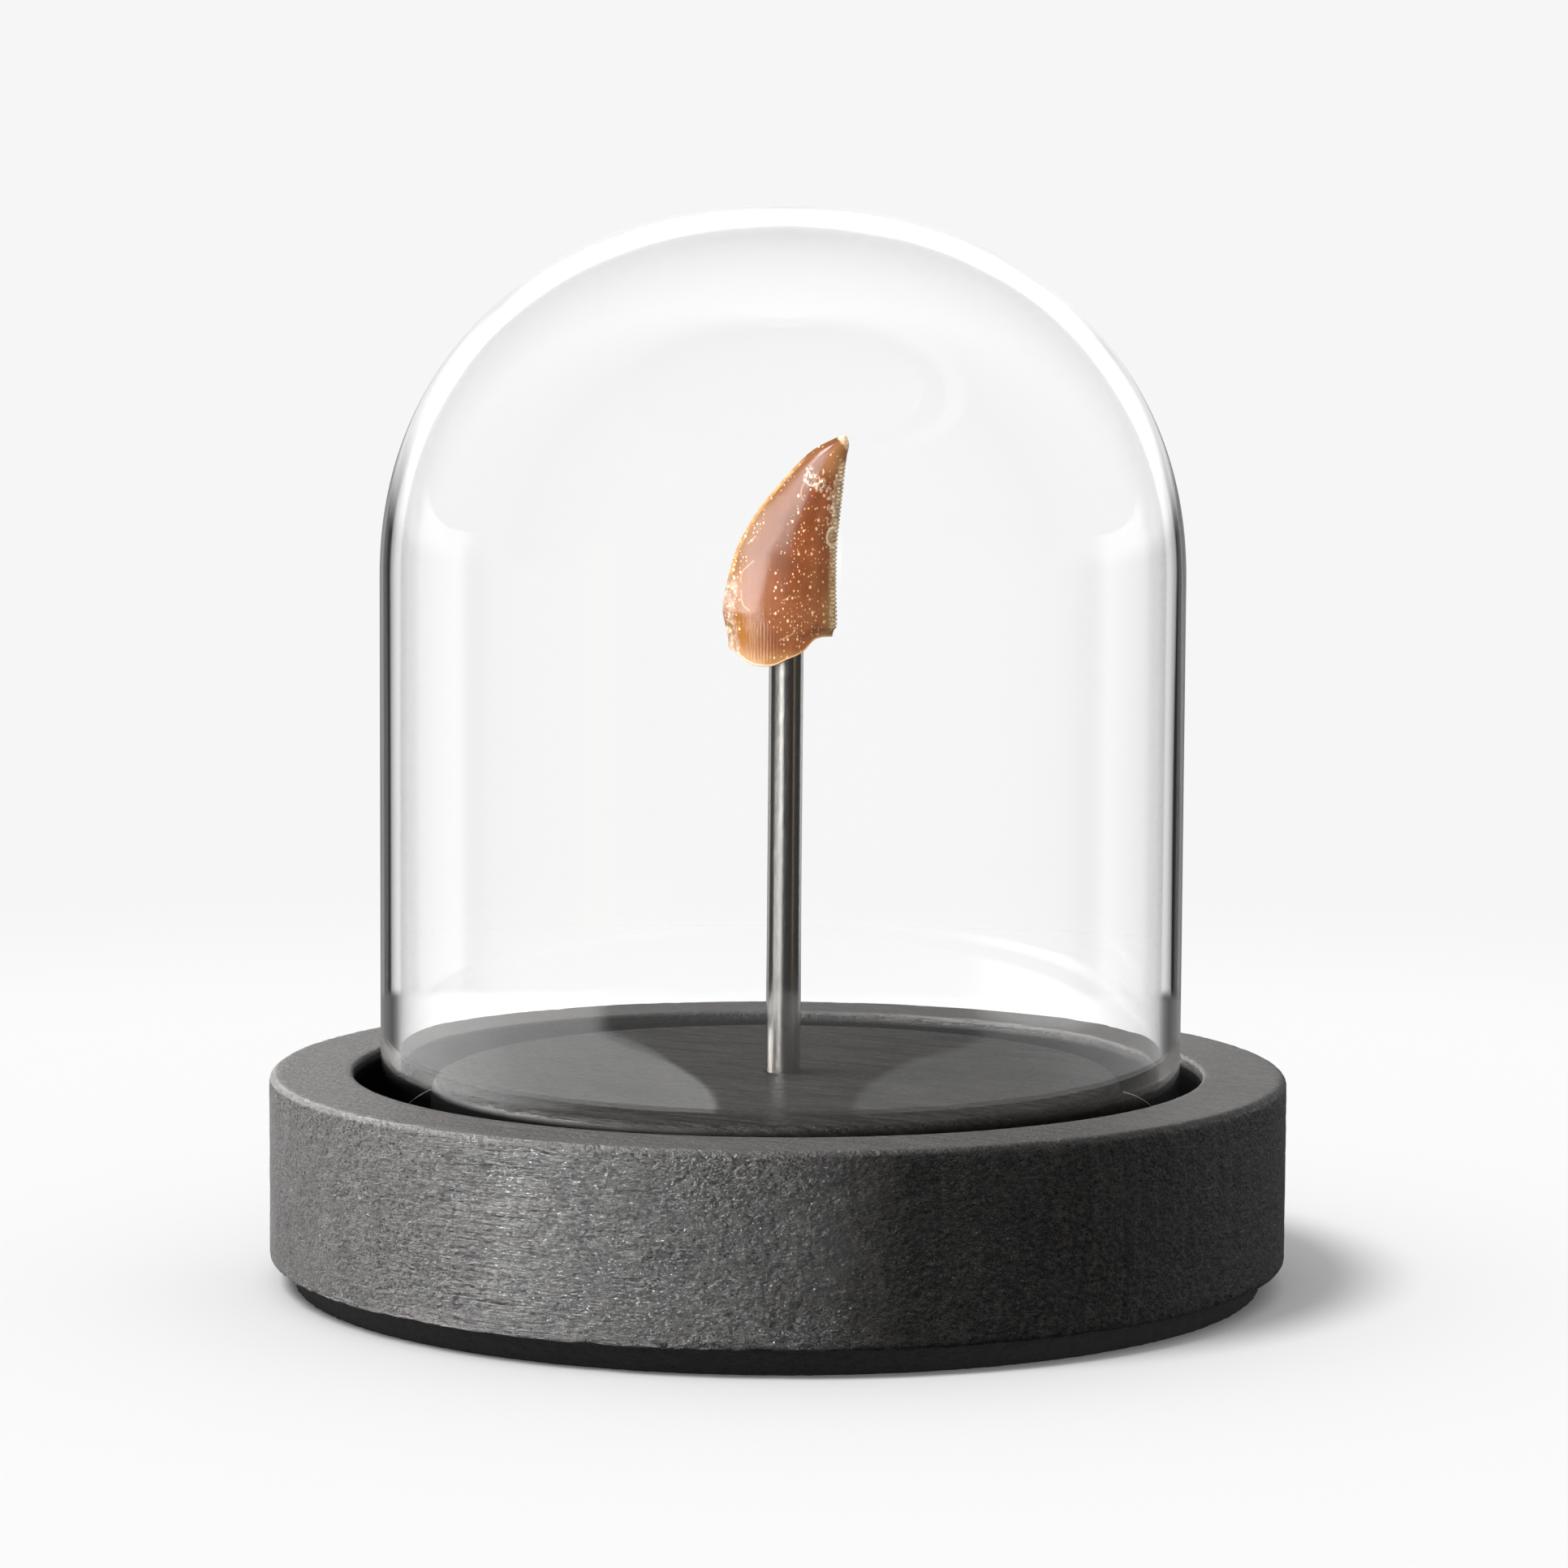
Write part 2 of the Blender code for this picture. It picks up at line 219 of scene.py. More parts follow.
# Panels: name, azimuth and width in degrees, lower and upper edge in millimetres, radiance, and
# the piece that each one lights.
PANELS = (
    ("wood_window", -92.0, 41.0, (-20.0, 240.0), 73.0, "wood"),
    ("tooth_window", -54.0, 46.0, (30.0, 200.0), 15.5, "tooth"),
    ("tooth_sill", -44.0, 28.0, (-70.0, 30.0), 10.0, "tooth"),
    ("tooth_skylight", -50.0, 118.0, (200.0, 540.0), 14.5, "tooth"),
    ("rod_window", -31.0, 29.0, (-60.0, 110.0), 20.0, "rod"),
    ("rod_fill", -62.0, 30.0, (-75.0, -8.0), 9.0, "rod"),
)

# What gloss sees of the room: stops of (azimuth in degrees, brightness) and, where it isn't
# neutral, a tint. Azimuth 0 is the camera's side and -90 the left. The glass reflects the room
# outside it and, inside its wall, the dark strips behind it that draw its edges. The low room is
# what both see below them, and the high room what they see above. What stands under the glass
# reflects the room inside, which is dark above and below.
NEUTRAL = (1.0, 1.0, 1.0)
WARM = (1.0, 0.74, 0.52)
OUTSIDE_ROOM = (
    (-180, 0.35), (-164, 0.25), (-157, 0.10), (-147, 0.10),
    (-142, 0.40), (-110, 0.50), (-90, 0.25), (-50, 0.05),
    (50, 0.03), (110, 0.03), (142, 0.10), (147, 0.05),
    (157, 0.05), (164, 0.15), (180, 0.30),
)
IN_WALL_ROOM = (
    (-180, 0.50), (-166, 0.50), (-164, 0.01), (-156, 0.01),
    (-154, 0.65), (-150, 0.90), (-108, 0.90), (-104, 0.10),
    (-98, 0.10), (-92, 0.40), (-50, 0.03), (50, 0.03),
    (90, 0.30), (95, 0.10), (102, 0.10), (108, 0.90),
    (150, 0.90), (154, 0.65), (156, 0.01), (164, 0.01),
    (166, 0.50), (180, 0.50),
)
LOW_ROOM = (
    (-180, 0.35), (-164, 0.25), (-157, 0.10), (-147, 0.10),
    (-142, 0.60), (-116, 1.60), (-95, 2.20), (-55, 2.30),
    (-50, 0.55), (56, 0.50), (64, 1.05), (95, 1.05),
    (142, 0.45), (147, 0.10), (157, 0.10), (164, 0.25),
    (180, 0.35),
)
INSIDE_ROOM = (
    (-180, 0.03), (-162, 0.03), (-155, 0.75), (-122, 0.75),
    (-113, 0.08), (-60, 0.12), (-45, 0.08), (50, 0.05),
    (56, 0.30, WARM), (64, 0.30, WARM), (69, 0.05), (113, 0.05),
    (122, 0.80), (155, 0.80), (162, 0.03), (180, 0.03),
)
HIGH_ROOM = ((-180, 1.15), (-120, 1.15), (-80, 0.05), (80, 0.05), (120, 1.15), (180, 1.15))
INSIDE_CEILING = 0.06
LOW_END = 0.05
# Below the horizon the low room's two bright sides widen towards the middle, up to this azimuth.
WIDENED_LIMIT = math.radians(94.0)
WIDENED_MOST = 2.9


def rgb(red, green, blue):
    """Gives a colour socket's value from linear red, green and blue."""
    return (red, green, blue, 1.0)


def grey(value):
    """Gives a neutral colour."""
    return rgb(value, value, value)


class Graph:
    """Builds the node graph of a material or a world."""

    def __init__(self, owner):
        owner.use_nodes = True
        self.tree = owner.node_tree
        self.tree.nodes.clear()

    def add(self, kind, inputs=None, **settings):
        """Adds one node. Each input is given a value or is wired to another node's socket."""
        node = self.tree.nodes.new("ShaderNode" + kind)
        for name, value in settings.items():
            setattr(node, name, value)
        for name, value in (inputs or {}).items():
            if isinstance(value, bpy.types.NodeSocket):
                self.tree.links.new(value, node.inputs[name])
            else:
                node.inputs[name].default_value = value
        return node

    def math(self, operation, first, second=0.0, third=0.0):
        """Adds a Math node and gives its result."""
        inputs = {0: first, 1: second, 2: third}
        return self.add("Math", inputs, operation=operation).outputs[0]

    def times(self, first, second):
        """Multiplies two values."""
        return self.math("MULTIPLY", first, second)

    def times_plus(self, first, second, added):
        """Multiplies two values and adds a third."""
        return self.math("MULTIPLY_ADD", first, second, added)

    def greater(self, first, second):
        """Gives the greater of two values."""
        return self.math("MAXIMUM", first, second)

    def passes(self, value, limit):
        """Gives 1 where a value is above a limit, and 0 elsewhere."""
        return self.math("GREATER_THAN", value, limit)

    def mix(self, factor, first, second):
        """Mixes two colours."""
        inputs = {0: factor, 6: first, 7: second}
        node = self.add("Mix", inputs, data_type="RGBA", clamp_factor=True)
        return node.outputs[2]

    def layer(self, under, mask, share, over):
        """Lays a colour over another by a mask times a share."""
        return self.mix(self.times(mask, share), under, over)

    def span(self, value, low, high, to_low=0.0, to_high=1.0):
        """Maps a range of values smoothly onto another and holds it at both ends."""
        inputs = {0: value, 1: low, 2: high, 3: to_low, 4: to_high}
        return self.add("MapRange", inputs, interpolation_type="SMOOTHSTEP").outputs[0]

    def ramp(self, value, stops):
        """Reads a colour ramp. Each stop is a position and a colour."""
        node = self.add("ValToRGB", {0: value})
        elements = node.color_ramp.elements
        while len(elements) > 1:
            elements.remove(elements[-1])
        elements[0].position, elements[0].color = stops[0]
        for position, colour in stops[1:]:
            elements.new(position).color = colour
        return node.outputs[0]

    def millimetres(self, turn=0.0, stretch=(1.0, 1.0, 1.0)):
        """Gives object coordinates in millimetres, turned about Z and then divided by a stretch."""
        place = self.add("TexCoord").outputs["Object"]
        turned = self.add("VectorRotate", {0: place, 3: turn}, rotation_type="Z_AXIS").outputs[0]
        scale = tuple(1.0 / (MM * length) for length in stretch)
        return self.add("VectorMath", {0: turned, 1: scale}, operation="MULTIPLY").outputs[0]

    def noise(self, place, size=1.0, detail=3.0, roughness=0.55, distortion=0.0):
        """Gives soft noise from 0 to 1 whose features are about one size across."""
        inputs = {
            "Vector": place,
            "Scale": 1.0 / size,
            "Detail": detail,
            "Roughness": roughness,
            "Distortion": distortion,
        }
        return self.add("TexNoise", inputs).outputs[0]

    def attribute(self, name):
        """Reads a value stored on the mesh."""
        return self.add("Attribute", attribute_name=name).outputs["Fac"]

    def bump(self, height, distance, strength=1.0, normal=None):
        """Raises a bump. The height runs from 0 to 1 over the distance in millimetres."""
        inputs = {"Height": height, "Distance": distance * MM, "Strength": strength}
        if normal is not None:
            inputs["Normal"] = normal
        return self.add("Bump", inputs).outputs[0]

    def principled(self, inputs):
        """Ends a material in one Principled shader."""
        shader = self.add("BsdfPrincipled", inputs)
        self.add("OutputMaterial", {"Surface": shader.outputs[0]})


def lattice_value(cell, seed):
    """Gives one fixed random value from -1 to 1 for every whole cell of a 3-D lattice."""
    mixed = cell[0] * 73856093 ^ cell[1] * 19349663 ^ cell[2] * 83492791 ^ seed * 374761393
    mixed = (mixed ^ (mixed >> 13)) * 1274126177
    mixed = (mixed ^ (mixed >> 16)) & 0xFFFF
    return mixed / 32767.5 - 1.0


def value_noise(points, size, seed, octaves=1):
    """Gives smooth noise from -1 to 1 at points (..., 3). size is a length or one for each axis."""
    total = np.zeros(points.shape[:-1])
    weight_sum = 0.0
    for octave in range(octaves):
        weight = 0.5**octave
        place = points / (np.asarray(size, float) / 2.0**octave)
        low = np.floor(place).astype(np.int64)
        share = place - low
        share = share * share * (3.0 - 2.0 * share)
        value = np.zeros(points.shape[:-1])
        for corner in range(8):
            step = np.array((corner & 1, corner >> 1 & 1, corner >> 2 & 1))
            near = np.prod(np.where(step, share, 1.0 - share), axis=-1)
            cell = np.moveaxis(low + step, -1, 0)
            value += near * lattice_value(cell, seed + octave)
        total += weight * value
        weight_sum += weight
    return total / weight_sum


def smooth_step(value, low, high):
    """Rises smoothly from 0 at low to 1 at high. It falls where low is the greater."""
    share = np.clip((value - low) / (high - low), 0.0, 1.0)
    return share * share * (3.0 - 2.0 * share)


def smooth_curve(points, at):
    """Reads a smooth curve through (position, value) points at an array of positions."""
    positions = np.array([point[0] for point in points])
    values = np.array([point[1] for point in points])
    slopes = np.empty(len(points))
    slopes[1:-1] = (values[2:] - values[:-2]) / (positions[2:] - positions[:-2])
    slopes[0] = (values[1] - values[0]) / (positions[1] - positions[0])
    slopes[-1] = (values[-1] - values[-2]) / (positions[-1] - positions[-2])
    inside = np.clip(at, positions[0], positions[-1])
    left = np.clip(np.searchsorted(positions, inside, side="right") - 1, 0, len(points) - 2)
    span = positions[left + 1] - positions[left]
    t = (inside - positions[left]) / span
    start = values[left] * (2 * t**3 - 3 * t**2 + 1) + slopes[left] * span * (t**3 - 2 * t**2 + t)
    end = values[left + 1] * (3 * t**2 - 2 * t**3) + slopes[left + 1] * span * (t**3 - t**2)
    return start + end


def straight(start, end, steps):
    """Gives the points of a straight run of a profile, without its start."""
    shares = np.arange(1, steps + 1)[:, None] / steps
    return np.asarray(start) + (np.asarray(end) - np.asarray(start)) * shares


def arc(centre, radius, start_degrees, end_degrees, steps):
    """Gives the points of an arc of a profile, without its start."""
    shares = np.arange(1, steps + 1) / steps
    angle = np.radians(start_degrees + (end_degrees - start_degrees) * shares)
    return np.stack([centre[0] + radius * np.cos(angle), centre[1] + radius * np.sin(angle)], -1)


def turned_rings(profile, columns, centre_x=0.0):
    """Turns a profile of (radius, height) points into rings. centre_x may differ for each ring."""
    angle = 2.0 * np.pi * np.arange(columns) / columns
    radius, height = profile[:, :1], profile[:, 1:]
    x = radius * np.cos(angle) + np.reshape(centre_x, (-1, 1))
    y = radius * np.sin(angle)
    z = np.broadcast_to(height, x.shape)
    return np.stack([x, y, z], axis=-1)


def ring_piece(name, rings, first_pole, last_pole, masks=None):
    """Makes one closed smooth piece from rings (rows, columns, xyz) in millimetres and two poles."""
    rows, columns = rings.shape[:2]
    index = np.arange(rows * columns).reshape(rows, columns)
    after = np.roll(index, -1, axis=1)
    quads = np.stack([index[:-1], after[:-1], after[1:], index[1:]], axis=-1).reshape(-1, 4)
    first = np.full(columns, rows * columns)
    last = first + 1
    fans = np.concatenate(
        [np.stack([first, after[0], index[0]], -1), np.stack([index[-1], after[-1], last], -1)]
    )
    points = np.concatenate([rings.reshape(-1, 3), [first_pole], [last_pole]]) * MM
    mesh = bpy.data.meshes.new(name)
    mesh.from_pydata(points.tolist(), [], quads.tolist() + fans.tolist())
    for mask_name, values in (masks or {}).items():
        attribute = mesh.attributes.new(mask_name, "FLOAT", "POINT")
        spread = np.broadcast_to(values, (rows, columns)).reshape(-1)
        attribute.data.foreach_set("value", np.concatenate([spread, spread[:1], spread[-1:]]))
    mesh.shade_smooth()
    mesh.update()
    piece = bpy.data.objects.new(name, mesh)
    bpy.context.scene.collection.objects.link(piece)
    return piece


def dress(piece, node, material):
    """Gives a piece its material and lets it stand for one node of the frame."""
    piece.data.materials.append(material)
    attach(piece, BODY)
    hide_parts(node)
    return piece


def grain_place(points):
    """Gives points in the wood's own axes: along the grain, across it, and up."""
    along = points[..., 0] * math.cos(GRAIN_TURN) + points[..., 1] * math.sin(GRAIN_TURN)
    across = points[..., 1] * math.cos(GRAIN_TURN) - points[..., 0] * math.sin(GRAIN_TURN)
    return np.stack([along, across, points[..., 2]], axis=-1)


def wood_profile():
    """The turned outline of the base, from under its middle round to the rod's hole."""
    side = BASE_RADIUS
    groove_lip = BASE_TOP - GROOVE_EDGE
    island_side = ISLAND_TOP - ISLAND_EDGE_ROUNDING
    edge_out = GROOVE_INNER_RADIUS - ISLAND_EDGE_ROUNDING
    hole = ROD_RADIUS + HOLE_CLEARANCE
    foot_in, foot_up = side - BASE_BOTTOM_ROUNDING, BASE_BOTTOM + BASE_BOTTOM_ROUNDING
    top_in, top_down = side - BASE_TOP_ROUNDING, BASE_TOP - BASE_TOP_ROUNDING
    lip_out = GROOVE_OUTER_RADIUS + GROOVE_EDGE
    parts = [
        np.array([(3.0, BASE_BOTTOM)]),
        straight((3.0, BASE_BOTTOM), (foot_in, BASE_BOTTOM), 4),
        arc((foot_in, foot_up), BASE_BOTTOM_ROUNDING, -90, 0, 3),
        straight((side, foot_up), (side, top_down), 46),
        arc((top_in, top_down), BASE_TOP_ROUNDING, 0, 90, 5),
        straight((top_in, BASE_TOP), (lip_out, BASE_TOP), 14),
        arc((lip_out, groove_lip), GROOVE_EDGE, 90, 180, 3),
        straight((GROOVE_OUTER_RADIUS, groove_lip), (GROOVE_OUTER_RADIUS, GROOVE_FLOOR), 5),
        straight((GROOVE_OUTER_RADIUS, GROOVE_FLOOR), (GROOVE_INNER_RADIUS, GROOVE_FLOOR), 5),
        straight((GROOVE_INNER_RADIUS, GROOVE_FLOOR), (GROOVE_INNER_RADIUS, island_side), 4),
        arc((edge_out, island_side), ISLAND_EDGE_ROUNDING, 0, 90, 5),
        straight((edge_out, ISLAND_TOP), (2.4, ISLAND_TOP), 17),
        straight((2.4, ISLAND_TOP), (hole, ISLAND_TOP + 0.02), 3),
        straight((hole, ISLAND_TOP + 0.02), (hole, ROD_BOTTOM - 0.2), 2),
    ]
    return np.concatenate(parts)


def profile_normals(profile):
    """Gives the outward normal (out, up) at each point of a turned profile."""
    along = np.gradient(profile, axis=0)
    along /= np.linalg.norm(along, axis=1, keepdims=True)
    return np.stack([along[:, 1], -along[:, 0]], axis=-1)


def wood_relief(profile, place, end_grain, roughened):
    """Gives how far each point of the wood rises: grain, pits, rings and chipped edges."""
    fibres = value_noise(place, (5.0, 0.8, 0.8), 11, 2)
    strands = value_noise(place, (9.0, 2.2, 1.6), 21, 1)
    pits = np.clip(value_noise(place, (1.3, 0.9, 0.9), 31, 2) - 0.1, 0.0, 1.0)
    pith_distance = np.hypot(place[..., 1] + PITH_OFFSET, place[..., 2] - PITH_HEIGHT)
    waver = value_noise(place, (16.0, 8.0, 8.0), 41, 2)
    ring_wave = np.sin(2.0 * np.pi * (pith_distance / RING_PITCH + waver))
    relief = FIBRE_RELIEF * fibres + STRAND_RELIEF * strands
    relief = relief - PIT_DEPTH * pits * (0.4 + end_grain) + RING_RELIEF * ring_wave
    lower_edge = np.exp(-((profile[:, 1] - BASE_BOTTOM - 0.2) / 0.35) ** 2) * (profile[:, 0] > 40.0)
    upper_edge = np.exp(-((profile[:, 1] - BASE_TOP + 0.2) / 0.4) ** 2) * (profile[:, 0] > 42.0)
    chips = np.clip(value_noise(place, (1.6, 0.7, 4.0), 51, 2), 0.0, 1.0)
    relief = relief * roughened[:, None] - WOOD_INSET * roughened[:, None]
    return relief - chips * (LOWER_CHIPS * lower_edge + UPPER_CHIPS * upper_edge)[:, None]


def build_wood_base():
    """The turned disc with its groove, raised grain, open pores and slightly chipped edges."""
    profile = wood_profile()
    radius, level = profile.T
    inward = smooth_step(radius, 24.0, 2.0) * (level > BASE_BOTTOM + 1.0)
    rod_share = (level - ROD_BOTTOM) / (ROD_TOP - ROD_BOTTOM)
    foot_x = ROD_FOOT_X + (ROD_HEAD_X - ROD_FOOT_X) * rod_share
    rings = turned_rings(profile, WOOD_COLUMNS, inward * foot_x)
    out, up = profile_normals(profile).T
    angle = 2.0 * np.pi * np.arange(WOOD_COLUMNS) / WOOD_COLUMNS
    upright = np.repeat(up[:, None], WOOD_COLUMNS, 1)
    normals = np.stack([out[:, None] * np.cos(angle), out[:, None] * np.sin(angle), upright], axis=-1)
    place = grain_place(rings)
    end_grain = np.abs(grain_place(normals)[..., 0])

    on_side = (np.abs(out) > 0.5) & (radius > GROOVE_OUTER_RADIUS + 2.0)
    roughened = np.where(on_side, ROUGH_SIDE, ROUGH_TOP)
    roughened = np.where(radius < GROOVE_INNER_RADIUS + 0.01, ROUGH_ISLAND, roughened)
    hidden = (radius < ROD_RADIUS + 0.3) | (level < BASE_BOTTOM + 0.01)
    roughened = np.where(hidden, 0.0, roughened)
    rings = rings + normals * wood_relief(profile, place, end_grain, roughened)[..., None]

    foot_ring = np.exp(-((radius - 1.9) / 0.35) ** 2) * (np.abs(level - ISLAND_TOP) < 0.1)
    rings[..., 2] += foot_ring[:, None] * HOLE_EDGE_RELIEF * value_noise(place, 0.5, 61, 2)
    # Painted shade: the groove and the island's sides get a near-black stain and no gloss.
    sunk = smooth_step(level, ISLAND_TOP - 0.05, ISLAND_TOP - 0.9)
    in_groove = (radius < GROOVE_OUTER_RADIUS + 0.01) & (radius > ROD_RADIUS + 1.0)
    shaded = sunk * in_groove * (level > GROOVE_FLOOR - 0.2)
    # The ring's top, which the wood's material paints paler as painted light.
    ring_top = (up > 0.5) & (radius > GROOVE_OUTER_RADIUS)
    masks = {
        "end_grain": end_grain,
        "polished": 1.0 - roughened[:, None],
        "shaded": shaded[:, None],
        "ring_top": ring_top[:, None] * 1.0,
    }
    first_pole = (0.0, 0.0, BASE_BOTTOM)
    last_pole = (foot_x[-1], 0.0, ROD_BOTTOM - 0.2)
    piece = ring_piece("wood_base", rings, first_pole, last_pole, masks)
    return dress(piece, "base", wood_material())


# Colours and gloss of the stained wood, with painted shade in the groove and painted light on the
# ring's top.
WOOD_DARK = rgb(0.003, 0.0027, 0.0025)
WOOD_MIDDLE = rgb(0.0100, 0.0088, 0.0080)
WOOD_PALE = rgb(0.030, 0.0262, 0.0235)
WOOD_CLOUD = rgb(0.019, 0.0176, 0.0165)
WOOD_PORE = grey(0.003)
# Painted light: the ring's top is made paler so that it reads brighter.
WOOD_RING_TOP_PAINTED_LIGHT = rgb(0.090, 0.083, 0.077)
# Painted shade in the groove.
WOOD_PAINTED_GROOVE_SHADE = grey(0.002)
WOOD_SPECULAR = 0.42


def wood_material():
    """Black-stained wood: fibres, open pores and rings, with small glints on the raised grain."""
    material = bpy.data.materials.new("black_wood")
    graph = Graph(material)

    def along_grain(stretch, detail, roughness):
        """Gives noise that is stretched along the grain."""
        return graph.noise(graph.millimetres(-GRAIN_TURN, stretch), 1.0, detail, roughness)

    fibres = along_grain((8.0, 0.50, 0.42), 5.0, 0.7)
    threads = along_grain((1.4, 0.10, 0.10), 3.0, 0.6)
    grains = along_grain((0.55, 0.42, 0.36), 4.0, 0.72)
    clumps = along_grain((1.6, 0.6, 0.6), 3.0, 0.6)
    cloudy = along_grain((14.0, 6.0, 6.0), 2.0, 0.5)
    plain = graph.millimetres(-GRAIN_TURN)
    parts = graph.add("SeparateXYZ", {0: plain})
    across = graph.math("ADD", parts.outputs[1], PITH_OFFSET)
    height = graph.math("SUBTRACT", parts.outputs[2], PITH_HEIGHT)
    squares = graph.times_plus(across, across, graph.times(height, height))
    pith_distance = graph.math("SQRT", squares)
    waver = graph.times(graph.noise(plain, 7.0, 3.0), 2.6)
    ring_place = graph.times(graph.math("ADD", pith_distance, waver), 1.0 / RING_PITCH)
    along = graph.times(parts.outputs[0], 0.12)
    ring_point = graph.add("CombineXYZ", {0: ring_place, 1: along}).outputs[0]
    ring_share = graph.noise(ring_point, 1.0, 4.0, 0.6)
    end_grain = graph.span(graph.attribute("end_grain"), 0.22, 0.62)
    side_on = graph.span(graph.attribute("end_grain"), 0.95, 0.75)
    polished = graph.attribute("polished")
    shaded = graph.attribute("shaded")
    ring_top = graph.attribute("ring_top")

    streaks = graph.times_plus(graph.span(ring_share, 0.35, 0.62), 0.12, fibres)
    stops = [(0.0, WOOD_DARK), (0.5, WOOD_MIDDLE), (1.0, WOOD_PALE)]
    stain = graph.ramp(graph.span(streaks, 0.38, 0.72), stops)
    stain = graph.mix(graph.span(cloudy, 0.35, 0.7, 0.0, 0.4), stain, WOOD_CLOUD)
    pore_share = graph.times_plus(end_grain, 0.3, 0.7)
    stain = graph.layer(stain, graph.span(grains, 0.50, 0.40), pore_share, WOOD_PORE)
    # Painted light on the ring's top.
    stain = graph.layer(stain, ring_top, 0.25, WOOD_RING_TOP_PAINTED_LIGHT)
    # Painted shade in the groove: near-black, fully rough and without specular.
    stain = graph.mix(shaded, stain, WOOD_PAINTED_GROOVE_SHADE)
    roughness = graph.greater(graph.span(threads, 0.35, 0.65, 0.21, 0.43), shaded)
    roughness = graph.times_plus(ring_top, 0.25, roughness)

    long_grain = graph.times_plus(ring_share, 0.25, graph.times_plus(grains, 0.7, fibres))
    open_grain = graph.times_plus(clumps, 0.9, grains)
    height_sum = graph.mix(end_grain, long_grain, open_grain)
    unpolished = graph.times_plus(polished, -0.9, 1.0)
    strength = graph.times(unpolished, graph.times_plus(side_on, 0.6, 0.4))
    relief = graph.bump(height_sum, 1.0, strength)
    graph.principled(
        {
            "Base Color": stain,
            "Roughness": roughness,
            "Normal": graph.bump(threads, 0.05, 0.8, relief),
            "Specular IOR Level": graph.times_plus(shaded, -WOOD_SPECULAR, WOOD_SPECULAR),
            "IOR": 1.5,
        }
    )
    return material


FELT_BLACK = rgb(0.006, 0.006, 0.0065)
FELT_GREY = rgb(0.022, 0.0215, 0.021)


def build_felt():
    """The pad of pressed felt, with a fuzzy cut edge."""
    radius, top = FELT_RADIUS, FELT_TOP
    profile = np.concatenate(
        [
            np.array([(3.0, 0.0)]),
            straight((3.0, 0.0), (radius - 0.1, 0.0), 3),
            straight((radius - 0.1, 0.0), (radius, 0.12), 1),
            straight((radius, 0.12), (radius, top - 0.12), 9),
            straight((radius, top - 0.12), (radius - 0.1, top), 1),
            straight((radius - 0.1, top), (3.0, top), 3),
        ]
    )
    rings = turned_rings(profile, 1000)
    edge = smooth_step(profile[:, 0], radius - 0.5, radius - 0.1)
    fuzz = value_noise(rings, (0.5, 0.5, 0.25), 71, 2) * FELT_FUZZ
    outward = rings.copy()
    outward[..., 2] = 0.0
    outward /= np.linalg.norm(outward, axis=-1, keepdims=True)
    rings = rings + outward * (fuzz * edge[:, None])[..., None]
    piece = ring_piece("felt_underlay", rings, (0.0, 0.0, 0.0), (0.0, 0.0, top))
    material = bpy.data.materials.new("black_felt")
    graph = Graph(material)
    hairs = graph.noise(graph.millimetres(0.0, (0.5, 0.5, 0.12)), 1.0, 4.0, 0.7, 1.5)
    specks = graph.noise(graph.millimetres(), 0.16, 2.0)
    colour = graph.mix(graph.span(hairs, 0.35, 0.7), FELT_BLACK, FELT_GREY)
    graph.principled(
        {
            "Base Color": colour,
            "Roughness": graph.span(specks, 0.3, 0.7, 0.85, 1.0),
            "Normal": graph.bump(hairs, 0.25),
            "Sheen Weight": 0.15,
            "Sheen Roughness": 0.6,
            "Specular IOR Level": 0.1,
        }
    )
    return dress(piece, "felt_pad", material)


def build_rod():
    """The round steel bar with its small end chamfers, slightly uneven along its length."""
    body = np.linspace(ROD_BOTTOM + ROD_CHAMFER, ROD_TOP - ROD_CHAMFER, ROD_ROWS)
    profile = np.concatenate(
        [
            [(0.6, ROD_BOTTOM), (ROD_RADIUS - ROD_CHAMFER, ROD_BOTTOM)],
            np.stack([np.full(ROD_ROWS, ROD_RADIUS), body], axis=-1),
            [(ROD_RADIUS - ROD_CHAMFER, ROD_TOP), (0.6, ROD_TOP)],
        ]
    )
    share = (profile[:, 1] - ROD_BOTTOM) / (ROD_TOP - ROD_BOTTOM)
    centre_x = ROD_FOOT_X + (ROD_HEAD_X - ROD_FOOT_X) * share
    rings = turned_rings(profile, ROD_COLUMNS)
    flank = np.where(profile[:, 0] > ROD_RADIUS - 0.01, 1.0, 0.0)[:, None]
    waver = 1.0 + 0.002 * flank * (value_noise(rings, (1.6, 1.6, 14.0), 81, 1) - 1.0)
    rings[..., :2] *= waver[..., None]
    rings[..., 0] += centre_x[:, None]
    piece = ring_piece(
        "steel_rod", rings, (ROD_FOOT_X, 0.0, ROD_BOTTOM), (ROD_HEAD_X, 0.0, ROD_TOP)
    )
    return dress(piece, "rod", steel_material())


STEEL_GREY = rgb(0.50, 0.485, 0.46)
STEEL_BRIGHT = rgb(0.64, 0.625, 0.60)
STEEL_SPECK = rgb(0.27, 0.22, 0.17)
# Colour towards the rod's foot, where it stands in the wood: darker towards the bottom.
STEEL_DARK_FOOT = rgb(0.16, 0.13, 0.105)


